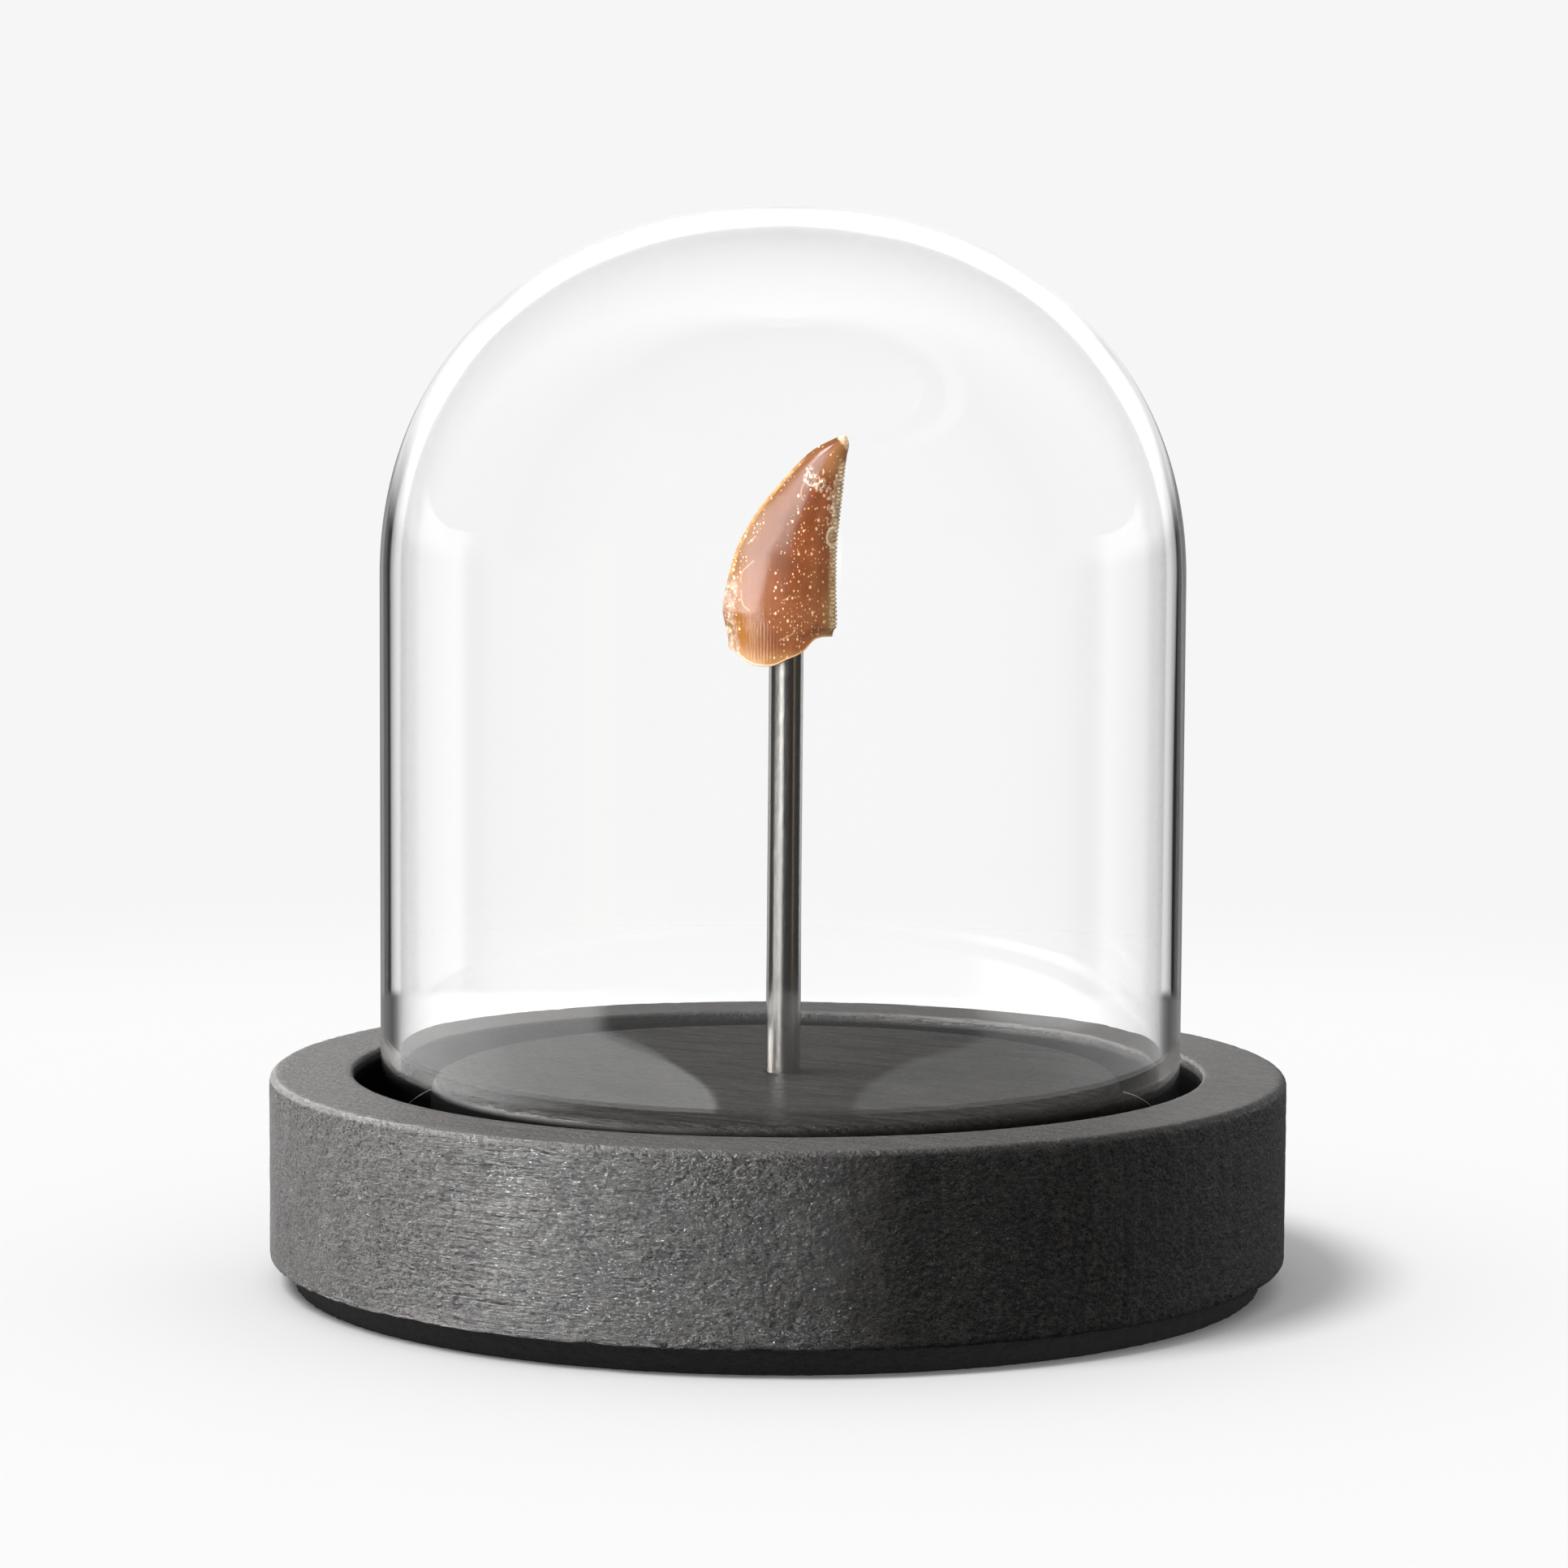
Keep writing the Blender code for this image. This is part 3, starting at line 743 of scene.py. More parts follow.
def steel_material():
    """Bright drawn steel with fine scratches along it, grey streaks and brownish specks, and patchy
    darkening towards its foot.
    """
    material = bpy.data.materials.new("steel")
    graph = Graph(material)
    scratches = graph.noise(graph.millimetres(0.0, (0.09, 0.09, 5.0)), 1.0, 3.0, 0.6)
    drawn = graph.noise(graph.millimetres(0.0, (0.3, 0.3, 14.0)), 1.0, 2.0, 0.5)
    specks = graph.noise(graph.millimetres(0.0, (0.22, 0.22, 0.5)), 1.0, 3.0, 0.65)
    foot_patches = graph.noise(graph.millimetres(0.0, (1.0, 1.0, 2.2)), 1.0, 3.0, 0.6)
    height = graph.add("SeparateXYZ", {0: graph.millimetres()}).outputs[2]
    foot = graph.span(height, ISLAND_TOP + 4.5, ISLAND_TOP + 0.2)
    metal = graph.mix(graph.span(drawn, 0.3, 0.7), STEEL_GREY, STEEL_BRIGHT)
    metal = graph.mix(graph.span(specks, 0.56, 0.72, 0.0, 0.55), metal, STEEL_SPECK)
    # Darker and rougher towards the foot, in patches.
    foot_darkening = graph.times(foot, graph.span(foot_patches, 0.35, 0.75, 0.5, 1.0))
    metal = graph.mix(foot_darkening, metal, STEEL_DARK_FOOT)
    roughness = graph.times_plus(graph.span(specks, 0.50, 0.80), 0.12, 0.13)
    roughness = graph.times_plus(foot, 0.08, roughness)
    along = graph.bump(scratches, 0.006, 0.5)
    graph.principled(
        {
            "Base Color": metal,
            "Metallic": 1.0,
            "Roughness": roughness,
            "Normal": graph.bump(specks, 0.004, 0.5, along),
        }
    )
    return material


def dome_face(radius, cap_height, shoulder, cap_rows):
    """One face of the glass, from its shoulder to just before the top."""
    angle = 0.5 * np.pi * np.arange(cap_rows) / cap_rows
    out = np.cos(angle) ** (2.0 / DOME_CAP_POWER)
    up = np.sin(angle) ** (2.0 / DOME_CAP_POWER)
    return np.stack([radius * out, shoulder + cap_height * up], axis=-1)


def build_dome():
    """The blown glass bell: an even wall, a round foot and very slight waves in its inner face."""
    shoulder = DOME_TOP - DOME_CAP_HEIGHT
    inner_radius = DOME_RADIUS - DOME_WALL
    round_foot = 0.5 * DOME_WALL
    inner = dome_face(inner_radius, DOME_CAP_HEIGHT - DOME_WALL, shoulder, DOME_CAP_ROWS)[::-1]
    outer = dome_face(DOME_RADIUS, DOME_CAP_HEIGHT, shoulder, DOME_CAP_ROWS)
    low = DOME_FOOT + round_foot
    profile = np.concatenate(
        [
            inner,
            straight((inner_radius, shoulder), (inner_radius, low), DOME_WALL_ROWS),
            arc((DOME_RADIUS - round_foot, low), round_foot, 180, 360, 16),
            straight((DOME_RADIUS, low), (DOME_RADIUS, shoulder), DOME_WALL_ROWS),
            outer[1:],
        ]
    )
    rings = turned_rings(profile, DOME_COLUMNS)
    face = np.zeros(len(profile))
    face[: len(inner) + DOME_WALL_ROWS] = 1.0
    waves = value_noise(rings, (3.2, 3.2, 40.0), 91, 1)
    rings[..., :2] *= 1.0 + (0.00035 * face[:, None] * waves)[..., None]
    rings[..., 0] += DOME_CENTRE_X
    inner_pole = (DOME_CENTRE_X, 0.0, DOME_TOP - DOME_WALL)
    outer_pole = (DOME_CENTRE_X, 0.0, DOME_TOP)
    piece = ring_piece("dome_glass", rings, inner_pole, outer_pole)
    material = bpy.data.materials.new("clear_glass")
    graph = Graph(material)
    smears = graph.noise(graph.millimetres(0.0, (9.0, 9.0, 22.0)), 1.0, 3.0, 0.5)
    graph.principled(
        {
            "Base Color": rgb(0.995, 0.998, 0.996),
            "Roughness": 0.0,
            "IOR": 1.5,
            "Transmission Weight": 1.0,
            "Normal": graph.bump(smears, 0.004, 0.25),
        }
    )
    dress(piece, "glass_dome", material)
    piece.visible_shadow = False
    piece.visible_diffuse = False
    return piece


def distance_to_path(x, height, path):
    """Gives the distance from (x, height) to a path of straight runs."""
    nearest = np.full(x.shape, 1e9)
    for (x0, h0), (x1, h1) in zip(path[:-1], path[1:]):
        run_x, run_h = x1 - x0, h1 - h0
        share = ((x - x0) * run_x + (height - h0) * run_h) / (run_x**2 + run_h**2)
        share = np.clip(share, 0.0, 1.0)
        nearest = np.minimum(nearest, np.hypot(x - x0 - share * run_x, height - h0 - share * run_h))
    return nearest


def tooth_sections():
    """Gives the crown's level sections as (x, y, height) with the share across each section."""
    rim_share = np.arange(ROOT_RIM_ROWS) / ROOT_RIM_ROWS
    rim_heights = ROOT_RIM_MEAN + (ROOT_RIM_TOP - ROOT_RIM_MEAN) * rim_share
    crown_heights = np.linspace(ROOT_RIM_TOP, TOOTH_HEIGHT - 0.02, TOOTH_ROWS)
    heights = np.concatenate([rim_heights, crown_heights])[:, None]

    front = smooth_curve(FRONT_EDGE, heights)
    back = smooth_curve(BACK_EDGE, heights)
    middle = 0.5 * (front + back)
    half_width = 0.5 * (back - front)
    angle = 2.0 * np.pi * np.arange(TOOTH_COLUMNS)[None, :] / TOOTH_COLUMNS
    even = 1.0 - 2.0 * np.abs(angle - 2.0 * np.pi * (angle > np.pi)) / np.pi
    across = (1.0 - EVEN_COLUMNS) * np.cos(angle) + EVEN_COLUMNS * even
    side = np.where(angle < np.pi, 1.0, -1.0)
    rise = heights / TOOTH_HEIGHT
    thickness = TOOTH_HALF_THICKNESS * (2.0 * half_width / TOOTH_FULL_WIDTH) ** THICKNESS_POWER
    power = SECTION_POWER_ROOT + (SECTION_POWER_TIP - SECTION_POWER_ROOT) * rise
    bulge = np.clip(1.0 - across**2, 0.0, 1.0) ** (0.5 * power)
    x = middle + half_width * across
    y = side * bulge * thickness
    z = np.repeat(heights, TOOTH_COLUMNS, axis=1)
    return x, y, z, across, side * np.ones_like(x), rim_share, rise, half_width


def saw(height, pitch, jitter):
    """Gives 0 on the crest of a saw tooth and 1 in the narrow notch between two."""
    wave = 0.5 + 0.5 * np.cos(2.0 * np.pi * (height / pitch + jitter))
    return wave**3


def build_tooth():
    """The fossil crown with its saw edges, ridges, chip and crust, and its broken hollow root."""
    x, y, z, across, side, rim_share, rise, half_width = tooth_sections()
    height = z.copy()
    rows = slice(0, ROOT_RIM_ROWS)
    rim = smooth_curve(ROOT_RIM, x[rows])
    z[rows] = rim + (ROOT_RIM_TOP - rim) * rim_share[:, None]
    height[rows] = z[rows]
    place = np.stack([x, y, height], axis=-1)

    from_back = half_width * (1.0 - across)
    from_front = half_width * (1.0 + across)
    jitter = 0.12 * value_noise(place * (0.0, 0.0, 1.0) + 3.7, 0.9, 101, 1)
    back_zone = smooth_step(height, BACK_RANGE[0], BACK_RANGE[0] + 0.3)
    back_zone *= smooth_step(height, BACK_RANGE[1], BACK_RANGE[1] - 0.8)
    back_notch = saw(height, BACK_PITCH, jitter) * back_zone
    front_zone = smooth_step(height, FRONT_RANGE[0], FRONT_RANGE[0] + 1.5)
    front_zone *= smooth_step(height, FRONT_RANGE[1], FRONT_RANGE[1] - 0.8)
    front_notch = saw(height + 0.6 * x, FRONT_PITCH, -jitter) * front_zone
    wear = 0.75 + 0.25 * value_noise(place * (0.0, 0.0, 1.0), 1.3, 102, 2)

    back_groove = back_notch * smooth_step(from_back, BACK_GROOVE_LENGTH, 0.15) * wear
    front_groove = front_notch * smooth_step(from_front, FRONT_GROOVE_LENGTH, 0.05) * wear
    x = x - back_notch * wear * BACK_DEPTH * np.exp(-from_back / 0.25)
    x = x + front_notch * wear * FRONT_DEPTH * np.exp(-from_front / 0.25)

    shown = side < 0.0
    ridge_zone = smooth_step(x, -2.95, -2.5) * smooth_step(x, 0.1, -0.6) * shown
    ridge_zone = ridge_zone * smooth_step(height, 0.2, 0.9) * smooth_step(height, 3.9, 3.2)
    ridges = np.sin(2.0 * np.pi * x / RIDGE_PITCH + 1.2 * value_noise(place, (0.6, 1.0, 2.0), 103, 1))
    margin = smooth_step(from_front, 1.25, 0.5) * smooth_step(height, 8.0, 6.0)
    margin_rough = margin * value_noise(place, (0.42, 0.6, 0.5), 104, 3)
    upright_x = x + CRACK_LEAN * (height - 2.4)
    wedge = smooth_step(upright_x, CRACK_X + 0.04, CRACK_X - 0.04) * smooth_step(height, 3.6, 3.2)
    crack = np.exp(-((upright_x - CRACK_X) / 0.07) ** 2) * smooth_step(height, 3.5, 2.6)
    chip_x = (x - CHIP_PLACE[0]) / CHIP_SIZE[0]
    chip_radius = np.hypot(chip_x, (height - CHIP_PLACE[1]) / CHIP_SIZE[1])
    chip = smooth_step(chip_radius, 1.05, 0.8) * shown
    chip_rim = np.exp(-((chip_radius - 1.0) / 0.16) ** 2) * shown

    branch = distance_to_path(x, height, CRUST_BRANCH)
    strip = distance_to_path(x, height, CRUST_STRIP)
    crust = np.maximum(smooth_step(branch, 1.1, 0.1) * 0.62, smooth_step(strip, 0.95, 0.3) * 0.85)
    patchy = value_noise(place, (0.26, 0.5, 0.36), 105, 3)
    crust = np.clip(crust * 1.7 + 1.9 * patchy - 0.75, 0.0, 1.0) * smooth_step(crust, 0.02, 0.3)
    crust = crust * np.where(shown, 1.0, 0.6)
    worn_tip = smooth_step(height + 1.2 * (x - 5.0) + 0.3 * patchy, 18.55, 19.1)

    waves = value_noise(place, (1.1, 1.5, 2.6), 106, 2)
    bands = value_noise(place, (6.0, 4.0, 0.9), 107, 2)
    fade = smooth_step(np.minimum(from_back, from_front), 0.1, 0.9)
    surface = WAVE_RELIEF * waves * fade + BAND_RELIEF * bands * fade
    surface += RIDGE_RELIEF * ridges * ridge_zone + MARGIN_RELIEF * margin_rough
    surface -= WEDGE_DEPTH * wedge + CRACK_DEPTH * crack
    surface -= CHIP_DEPTH * chip - CHIP_RIM_DEPTH * chip_rim
    surface += CRUST_RELIEF * crust * (0.5 + 0.5 * patchy) - WORN_DEPTH * worn_tip * (0.6 + patchy)
    surface -= BACK_GROOVE_DEPTH * back_groove + FRONT_GROOVE_DEPTH * front_groove
    thickness = np.abs(y)
    y = side * np.maximum(thickness + surface * smooth_step(thickness, 0.0, 0.35), 0.0)
    y = y + TIP_BOW * rise**2

    scratch = np.zeros_like(x)
    for path in SCRATCHES:
        from_line = distance_to_path(x, height, path) / SCRATCH_WIDTH
        scratch = np.maximum(scratch, np.exp(-(from_line**2)))
    scratch = scratch * shown

    crown = np.stack([x, y, z], axis=-1)
    root, root_pole = root_rings(crown[0])
    flat = np.zeros((len(root), TOOTH_COLUMNS))
    rim_line = smooth_step(height - smooth_curve(ROOT_RIM, x), 0.22, 0.04)
    rim_line[ROOT_RIM_ROWS:] = 0.0
    crown_masks = {
        "across": across * np.ones_like(x),
        "rise": height,
        "crust": crust,
        "margin": np.maximum(margin, wedge),
        "back_saw": smooth_step(from_back, 0.75, 0.25) * back_zone,
        "front_saw": smooth_step(from_front, 0.45, 0.1) * front_zone,
        "groove": np.maximum(np.maximum(back_groove, front_groove), crack),
        "chip": chip_rim,
        "chip_inside": chip,
        "worn_tip": worn_tip,
        "scratch": scratch,
    }
    masks = {name: np.concatenate([flat, values]) for name, values in crown_masks.items()}
    masks["dentine"] = np.concatenate([flat + 1.0, 0.6 * rim_line])
    rings = np.concatenate([root, crown])
    tip = (TOOTH_TIP_X, TIP_BOW, TOOTH_HEIGHT)
    lift = np.array((0.0, 0.0, TOOTH_BOTTOM))
    poles = np.add(root_pole, lift), np.add(tip, lift)
    piece = ring_piece("fossil_tooth", rings + lift, poles[0], poles[1], masks)
    return dress(piece, "tooth", enamel_material())


def root_rings(rim):
    """Gives the rings inside the broken root, from the top of the rod's hole out to the rim."""
    middle = rim[:, 0].mean()
    lip_x = middle + (rim[:, 0] - middle) * ROOT_LIP_SCALE
    lip_height = smooth_curve(ROOT_RIM, lip_x) + ROOT_LIP_RISE
    lip = np.stack([lip_x, rim[:, 1] * ROOT_LIP_SCALE, lip_height], -1)
    radius = ROD_RADIUS + 0.05
    hole_top = ROD_TOP - TOOTH_BOTTOM + 0.1
    mouth_x = ROD_HEAD_X
    angle = 2.0 * np.pi * np.arange(TOOTH_COLUMNS) / TOOTH_COLUMNS
    hole_x = mouth_x + radius * np.cos(angle)
    hole_y = radius * np.sin(angle)
    mouth = np.stack([hole_x, hole_y, smooth_curve(ROOT_RIM, hole_x) + ROOT_HOLLOW_RISE], -1)
    top = np.stack([hole_x, hole_y, np.full(TOOTH_COLUMNS, hole_top)], -1)
    shares = np.linspace(0.0, 1.0, 9)[:, None, None]
    hollow = mouth + (lip - mouth) * shares
    rough = value_noise(hollow, (0.5, 0.5, 0.5), 111, 2)
    hollow[..., 2] += 0.16 * rough * np.sin(np.pi * shares[..., 0])
    edge = 0.5 * (lip + rim)
    edge[:, 2] -= 0.04
    rings = np.concatenate([top[None], hollow, edge[None]])
    return rings, (mouth_x, 0.0, hole_top)


# Colours of the tooth: its enamel by region, and what lies on it.
DEEP_BROWN = rgb(0.104, 0.027, 0.0065)
RED_BROWN = rgb(0.146, 0.039, 0.0105)
CARAMEL = rgb(0.140, 0.047, 0.017)
LIGHT_CARAMEL = rgb(0.205, 0.070, 0.025)
PLUM = rgb(0.080, 0.030, 0.020)
AMBER = rgb(0.150, 0.063, 0.018)
ORANGE = rgb(0.175, 0.066, 0.009)
# Painted glow: a lighter amber near the root's rim stands in for light coming through the enamel.
ROOT_RIM_PAINTED_GLOW = rgb(0.23, 0.115, 0.038)
OLIVE = rgb(0.22, 0.130, 0.045)
TIP_BROWN = rgb(0.20, 0.092, 0.036)
PALE_FIBRE = rgb(0.25, 0.115, 0.06)
DARK_GRAIN = rgb(0.075, 0.022, 0.007)
# Painted darkening of the enamel on its lit front half, so that the highlight there reads paler.
LIT_SIDE_PAINTED_DARKENING = rgb(0.020, 0.012, 0.008)
CREAM_DOT = rgb(0.47, 0.29, 0.14)
MATRIX_DARK = rgb(0.115, 0.048, 0.02)
MATRIX_PALE = rgb(0.33, 0.235, 0.15)
VEIN = rgb(0.060, 0.026, 0.013)
BACK_SAW_PALE = rgb(0.66, 0.49, 0.29)
FRONT_SAW_PALE = rgb(0.46, 0.27, 0.11)
CRUST_DARK = rgb(0.17, 0.090, 0.04)
CRUST_PALE = rgb(0.58, 0.46, 0.31)
CHIP_FLOOR = rgb(0.30, 0.18, 0.09)
CHIP_RIM = rgb(0.62, 0.54, 0.36)
WORN_PALE = rgb(0.45, 0.32, 0.19)
# Painted shade in the saw grooves and the root's crack.
GROOVE_PAINTED_SHADE = rgb(0.17, 0.088, 0.045)
SCRATCH_PALE = rgb(0.45, 0.33, 0.22)
DENTINE = rgb(0.46, 0.28, 0.13)


def enamel_colour(graph, across, rise, clouds, blotches, fibrous, grainy):
    """Gives the enamel's colours from the root to the tip and from edge to edge, with a painted glow
    near the root's rim and painted darkening under the highlight on the lit front half.
    """
    colour = graph.mix(graph.span(clouds, 0.36, 0.66), DEEP_BROWN, RED_BROWN)
    from_middle = graph.math("ABSOLUTE", graph.math("ADD", across, 0.45))
    foot_side = graph.times(graph.span(rise, 6.0, 2.5), graph.span(across, -0.1, -0.75))
    olive = graph.times(graph.span(across, 0.66, 0.92), graph.span(rise, 8.0, 4.5))
    under_tip = graph.times(graph.span(rise, 15.2, 17.0), graph.span(across, -0.3, 0.5))
    layers = (
        (graph.span(rise, 9.0, 2.5), graph.span(clouds, 0.3, 0.6, 0.35, 0.9), CARAMEL),
        (graph.span(from_middle, 0.55, 0.1), 0.55, CARAMEL),
        (graph.span(across, 0.25, 0.80), 0.35, LIGHT_CARAMEL),
        (graph.span(blotches, 0.54, 0.70), 0.6, PLUM),
        (graph.span(across, -0.45, -0.92), 0.75, AMBER),
        (foot_side, 0.85, ORANGE),
        # Painted glow near the root's rim.
        (graph.span(rise, 1.7, 0.4), 0.7, ROOT_RIM_PAINTED_GLOW),
        (olive, 0.65, OLIVE),
        (under_tip, 0.9, TIP_BROWN),
        (graph.span(fibrous, 0.50, 0.72), 0.15, PALE_FIBRE),
        (graph.span(grainy, 0.42, 0.24), 0.35, DARK_GRAIN),
        # Painted light: the lit front half is darkened under its highlight.
        (graph.span(across, 0.25, -0.15), graph.span(rise, 6.0, 10.0, 0.15, 0.40), LIT_SIDE_PAINTED_DARKENING),
    )
    for mask, share, over in layers:
        colour = graph.layer(colour, mask, share, over)
    return colour


def enamel_deposits(graph, colour, blotches, grainy):
    """Lays the rough margin, the pale saw edges, the crust, the chip and the wear on the enamel, and
    painted shade in the saw grooves and the crack.
    """
    margin = graph.attribute("margin")
    matrix_colour = graph.mix(graph.span(blotches, 0.42, 0.62), MATRIX_DARK, MATRIX_PALE)
    from_line = graph.math("ABSOLUTE", graph.math("SUBTRACT", blotches, 0.5))
    veins = graph.times(margin, graph.span(from_line, 0.030, 0.008))
    in_grains = graph.span(grainy, 0.34, 0.56, 0.35, 1.0)
    saw_patches = graph.times(in_grains, graph.span(blotches, 0.36, 0.56, 0.35, 1.0))
    crust_colour = graph.mix(graph.span(grainy, 0.36, 0.56), CRUST_DARK, CRUST_PALE)
    bead_place = graph.millimetres(0.0, (0.21, 0.5, 0.27))
    beads = graph.add("TexVoronoi", {"Vector": bead_place, "Scale": 1.0})
    bead = graph.span(beads.outputs["Distance"], 0.62, 0.36, 0.25, 1.0)
    layers = (
        (graph.times(margin, graph.span(grainy, 0.38, 0.60, 0.2, 1.0)), 0.85, matrix_colour),
        (veins, 0.8, VEIN),
        (graph.times(graph.attribute("back_saw"), saw_patches), 0.9, BACK_SAW_PALE),
        (graph.times(graph.attribute("front_saw"), saw_patches), 0.8, FRONT_SAW_PALE),
        (graph.attribute("crust"), bead, crust_colour),
        (graph.attribute("chip_inside"), 0.7, CHIP_FLOOR),
        (graph.attribute("chip"), 0.85, CHIP_RIM),
        (graph.attribute("worn_tip"), graph.span(grainy, 0.30, 0.55, 0.45, 1.0), WORN_PALE),
        # Painted shade in the saw grooves and the crack.
        (graph.attribute("groove"), 0.9, GROOVE_PAINTED_SHADE),
        (graph.attribute("scratch"), 0.45, SCRATCH_PALE),
    )
    for mask, share, over in layers:
        colour = graph.layer(colour, mask, share, over)
    return graph.mix(graph.attribute("dentine"), colour, DENTINE)


def enamel_material():
    """Glossy caramel enamel with cream specks, a crusted saw edge and pale dentine."""
    material = bpy.data.materials.new("fossil_enamel")
    graph = Graph(material)
    across = graph.attribute("across")
    rise = graph.attribute("rise")
    clouds = graph.noise(graph.millimetres(0.0, (1.6, 1.6, 2.6)), 1.0, 4.0, 0.62)
    blotches = graph.noise(graph.millimetres(0.0, (0.7, 0.7, 0.9)), 1.0, 4.0, 0.65)
    grainy = graph.noise(graph.millimetres(0.0, (0.14, 0.14, 0.2)), 1.0, 3.0, 0.6)
    growth = graph.add("CombineXYZ", {0: graph.times(across, 45.0), 1: rise}).outputs[0]
    fibrous = graph.noise(growth, 1.0, 3.0, 0.6)
    colour = enamel_colour(graph, across, rise, clouds, blotches, fibrous, grainy)

    lower_right = graph.span(rise, 17.5, 8.0, 0.45, 1.0)
    lower_right = graph.times(graph.span(across, -0.35, 0.15), lower_right)
    speckled = graph.greater(graph.span(across, -0.66, -0.86), lower_right)
    speckled = graph.times(speckled, graph.span(clouds, 0.34, 0.60, 0.35, 1.0))
    specks = speck_mask(graph, 0.50, 0.078, 0.62, speckled)
    small_specks = speck_mask(graph, 0.29, 0.050, 0.66, speckled)
    dots = graph.greater(specks, graph.times(small_specks, 0.8))
    colour = graph.layer(colour, dots, 0.8, CREAM_DOT)
    colour = enamel_deposits(graph, colour, blotches, grainy)

    matt = graph.greater(graph.attribute("crust"), graph.attribute("dentine"))
    matt = graph.greater(matt, graph.attribute("margin"))
    matt = graph.greater(matt, graph.times(dots, 0.5))
    matt = graph.greater(matt, graph.attribute("worn_tip"))
    height = graph.times_plus(dots, 0.5, graph.times(blotches, 0.7))
    height = graph.times_plus(graph.times(grainy, matt), 1.6, height)
    grain = graph.bump(height, 0.035, 0.7)
    graph.principled(
        {
            "Base Color": colour,
            "Roughness": graph.times_plus(matt, 0.40, graph.span(fibrous, 0.3, 0.7, 0.13, 0.19)),
            "Normal": graph.bump(fibrous, 0.008, 0.6, grain),
            "Specular IOR Level": 1.0,
            "Subsurface Weight": 0.08,
            "Subsurface Radius": (1.0, 0.35, 0.12),
            "Subsurface Scale": 0.4 * MM,
        }
    )
    return material


def speck_mask(graph, cell, radius, share, zone):
    """Gives small dots on the broad sides: one in some of the cells, and more in a strong zone."""
    place = graph.add("SeparateXYZ", {0: graph.millimetres(0.0, (cell, cell, 1.4 * cell))})
    flat = graph.add("CombineXYZ", {0: place.outputs[0], 1: place.outputs[2]}).outputs[0]
    inputs = {"Vector": flat, "Scale": 1.0, "Randomness": 0.9}
    cells = graph.add("TexVoronoi", inputs, voronoi_dimensions="2D")
    chosen = graph.add("SeparateColor", {0: cells.outputs["Color"]})
    picked = graph.math("LESS_THAN", chosen.outputs[0], graph.times(zone, share))
    reach = graph.times_plus(chosen.outputs[1], radius / cell, 0.55 * radius / cell)
    inside = graph.math("SUBTRACT", reach, cells.outputs["Distance"])
    return graph.times(picked, graph.span(inside, 0.0, 0.3 * radius / cell))


def build_world():
    """Plain pale surroundings, and what gloss and the glass's edges see all round, by azimuth."""
    world = bpy.data.worlds.new("studio")
    bpy.context.scene.world = world
    graph = Graph(world)
    path = graph.add("LightPath")
    direction = graph.add("SeparateXYZ", {0: graph.add("TexCoord").outputs["Generated"]})
    azimuth = graph.math("ARCTAN2", direction.outputs[0], graph.times(direction.outputs[1], -1.0))
    upward = direction.outputs[2]

    def around(stops, at=azimuth):
        """Reads the brightness all round from its stops."""
        places = []
        for angle, value, *tint in stops:
            colour = rgb(*(value * part for part in (tint or [NEUTRAL])[0]))
            places.append(((angle + 180.0) / 360.0, colour))
        return graph.ramp(graph.times_plus(at, 0.5 / math.pi, 0.5), places)

    high = around(HIGH_ROOM)
    turn = graph.math("ABSOLUTE", azimuth)
    widened = graph.times(turn, graph.span(upward, -0.142, -0.158, 1.0, WIDENED_MOST))
    widened = graph.greater(turn, graph.math("MINIMUM", widened, WIDENED_LIMIT))
    low = around(LOW_ROOM, graph.times(widened, graph.math("SIGN", azimuth)))
    low = graph.mix(graph.span(upward, -0.1580, -0.1597), low, grey(LOW_END))
    looks_down = graph.span(upward, -0.1335, -0.1358)
    outside = graph.mix(graph.span(upward, 0.0, 0.06), around(OUTSIDE_ROOM), high)
    outside = graph.mix(looks_down, outside, low)
    in_wall = graph.mix(graph.span(upward, 0.02, 0.12), around(IN_WALL_ROOM), high)
    in_wall = graph.mix(looks_down, in_wall, low)
    ceiling = grey(INSIDE_CEILING)
    inside = graph.mix(graph.span(upward, 0.01, 0.09), around(INSIDE_ROOM), ceiling)
    inside = graph.mix(looks_down, inside, ceiling)

    faces = path.outputs["Transmission Depth"]
    gloss = graph.mix(graph.passes(faces, 1.5), outside, in_wall)
    gloss = graph.mix(graph.passes(faces, 2.5), gloss, inside)
    colour = graph.mix(graph.passes(path.outputs["Glossy Depth"], 0.5), grey(THROUGH_GLASS), gloss)
    colour = graph.mix(graph.passes(path.outputs["Diffuse Depth"], 0.5), colour, grey(AMBIENT))
    colour = graph.mix(path.outputs["Is Camera Ray"], colour, grey(SURROUNDINGS))
    background = graph.add("Background", {"Color": colour, "Strength": 1.0})
    graph.add("OutputWorld", {"Surface": background.outputs[0]})
    world.cycles.sampling_method = "NONE"


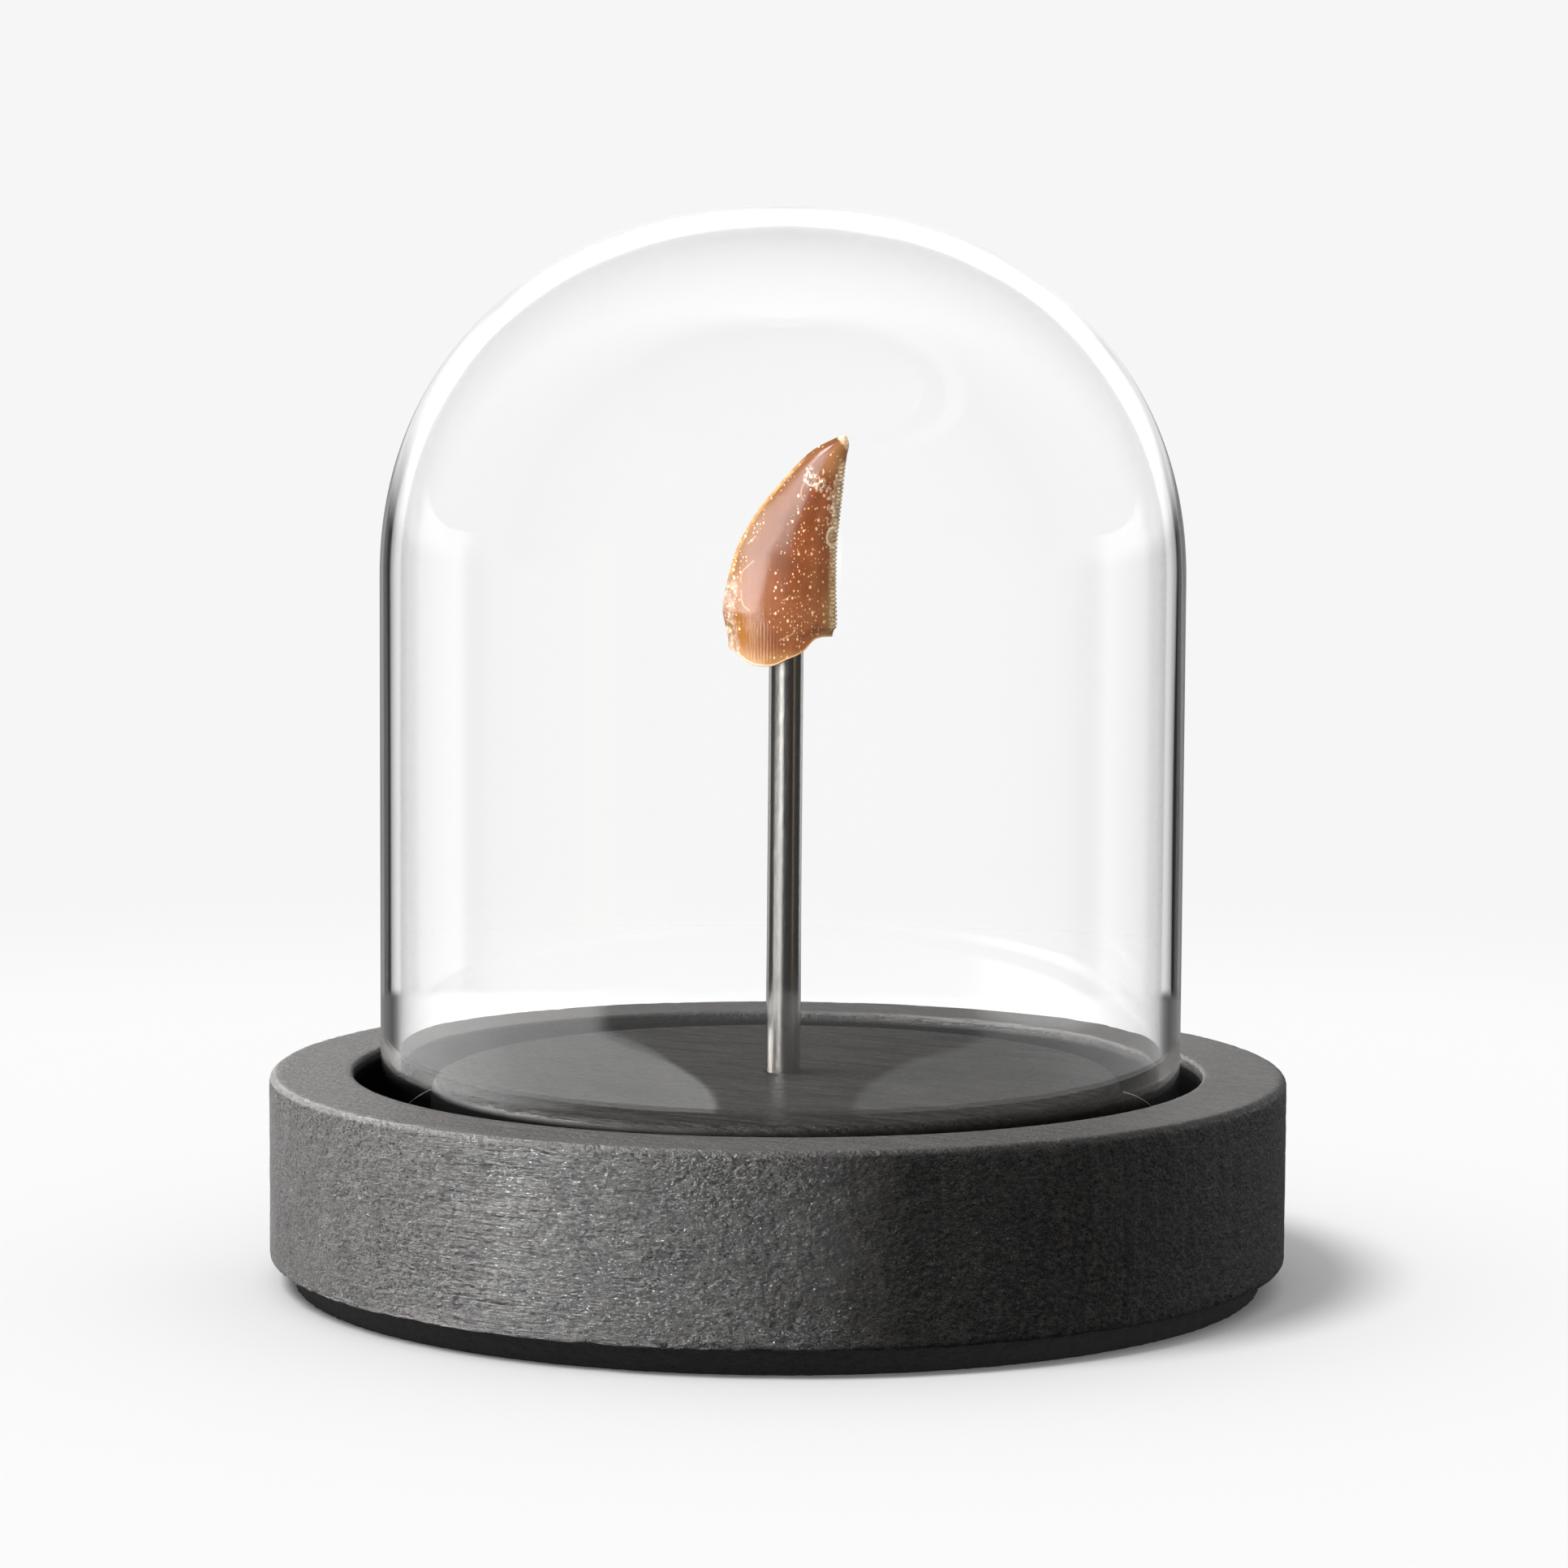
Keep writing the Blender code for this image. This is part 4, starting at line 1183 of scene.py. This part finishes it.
def build_floor():
    """A pale round floor that fades out into the plain surroundings."""
    angles = 2.0 * np.pi * np.arange(128) / 128
    edge = np.stack([np.cos(angles), np.sin(angles), np.zeros(128)], axis=-1) * FLOOR_RADIUS * MM
    mesh = bpy.data.meshes.new("floor")
    mesh.from_pydata(edge.tolist(), [], [list(range(128))])
    floor = bpy.data.objects.new("floor", mesh)
    bpy.context.scene.collection.objects.link(floor)
    material = bpy.data.materials.new("floor")
    graph = Graph(material)
    place = graph.millimetres()
    distance = graph.add("VectorMath", {0: place}, operation="LENGTH").outputs["Value"]
    near = graph.span(distance, FLOOR_FADE[1], FLOOR_FADE[0])
    path = graph.add("LightPath")
    glossy = graph.passes(path.outputs["Glossy Depth"], 0.5)
    through = graph.passes(path.outputs["Transmission Depth"], 1.5)
    shown = graph.times(near, graph.math("SUBTRACT", 1.0, glossy))
    paper = graph.add("BsdfDiffuse", {"Color": grey(FLOOR_ALBEDO)})
    lift = graph.times(through, THROUGH_GLASS - SURROUNDINGS)
    glow = graph.add("Emission", {"Color": grey(1.0), "Strength": lift})
    lit = graph.add("AddShader", {0: paper.outputs[0], 1: glow.outputs[0]})
    clear = graph.add("BsdfTransparent")
    surface = graph.add("MixShader", {0: shown, 1: clear.outputs[0], 2: lit.outputs[0]})
    graph.add("OutputMaterial", {"Surface": surface.outputs[0]})
    floor.data.materials.append(material)
    return floor


def direction_from(azimuth, elevation):
    """Gives the way to a light. Azimuth 0 is the camera's side, and -90 is the left."""
    a, e = math.radians(azimuth), math.radians(elevation)
    return Vector((math.sin(a) * math.cos(e), -math.cos(a) * math.cos(e), math.sin(e)))


def link_light(light, receivers):
    """Lets a light shine on some objects only."""
    group = bpy.data.collections.new(light.name + "_receivers")
    for receiver in receivers:
        group.objects.link(receiver)
    light.light_linking.receiver_collection = group


def place_light(name, kind, energy, way, distance, receivers):
    """Adds one light that looks back along the given way and shines on its receivers alone."""
    data = bpy.data.lights.new(name, kind)
    data.energy = energy
    data.cycles.use_multiple_importance_sampling = False
    light = bpy.data.objects.new(name, data)
    bpy.context.scene.collection.objects.link(light)
    light.location = way * distance
    light.rotation_euler = way.to_track_quat("Z", "Y").to_euler()
    link_light(light, receivers)
    return light


def add_panel(name, azimuth, width_degrees, heights, radiance, receivers):
    """Adds an upright rectangular light. heights are its lower and upper edge in millimetres."""
    width = 2.0 * PANEL_DISTANCE * math.tan(math.radians(0.5 * width_degrees)) * MM
    tall = (heights[1] - heights[0]) * MM
    way = direction_from(azimuth, 0.0)
    energy = radiance * math.pi * width * tall
    light = place_light(name, "AREA", energy, way, PANEL_DISTANCE * MM, receivers)
    light.data.shape = "RECTANGLE"
    light.data.size = width
    light.data.size_y = tall
    light.location.z += 0.5 * (heights[0] + heights[1]) * MM
    return light


def build_lights(pieces):
    """A soft key from the left, and window panels that each give one piece its gloss."""
    key_way = direction_from(KEY_AZIMUTH, KEY_ELEVATION)
    key = place_light("key", "SUN", KEY_STRENGTH, key_way, 1.0, pieces.values())
    key.data.angle = math.radians(KEY_SOFTNESS)
    for name, azimuth, width, heights, radiance, receiver in PANELS:
        add_panel(name, azimuth, width, heights, radiance, [pieces[receiver]])


def build_camera():
    """The photo's camera: a long lens from the front, looking slightly down."""
    data = bpy.data.cameras.new("camera")
    data.sensor_width = CAMERA_SENSOR
    data.lens = CAMERA_FOCAL_PIXELS / IMAGE_SIZE * CAMERA_SENSOR
    data.clip_start = 0.01
    camera = bpy.data.objects.new("camera", data)
    bpy.context.scene.collection.objects.link(camera)
    tilt = Matrix.Rotation(0.5 * math.pi - CAMERA_PITCH, 4, "X")
    camera.matrix_world = Matrix.Translation(CAMERA_PLACE) @ tilt @ Matrix.Rotation(CAMERA_ROLL, 4, "Z")
    bpy.context.scene.camera = camera


def main():
    """Builds the pieces, the stage, the lights and the camera."""
    wood = build_wood_base()
    felt = build_felt()
    rod = build_rod()
    build_dome()
    tooth = build_tooth()
    floor = build_floor()
    build_world()
    build_lights({"wood": wood, "felt": felt, "rod": rod, "tooth": tooth, "floor": floor})
    build_camera()
    bpy.context.scene.view_settings.view_transform = "Standard"


main()
bpy.context.view_layer.update()
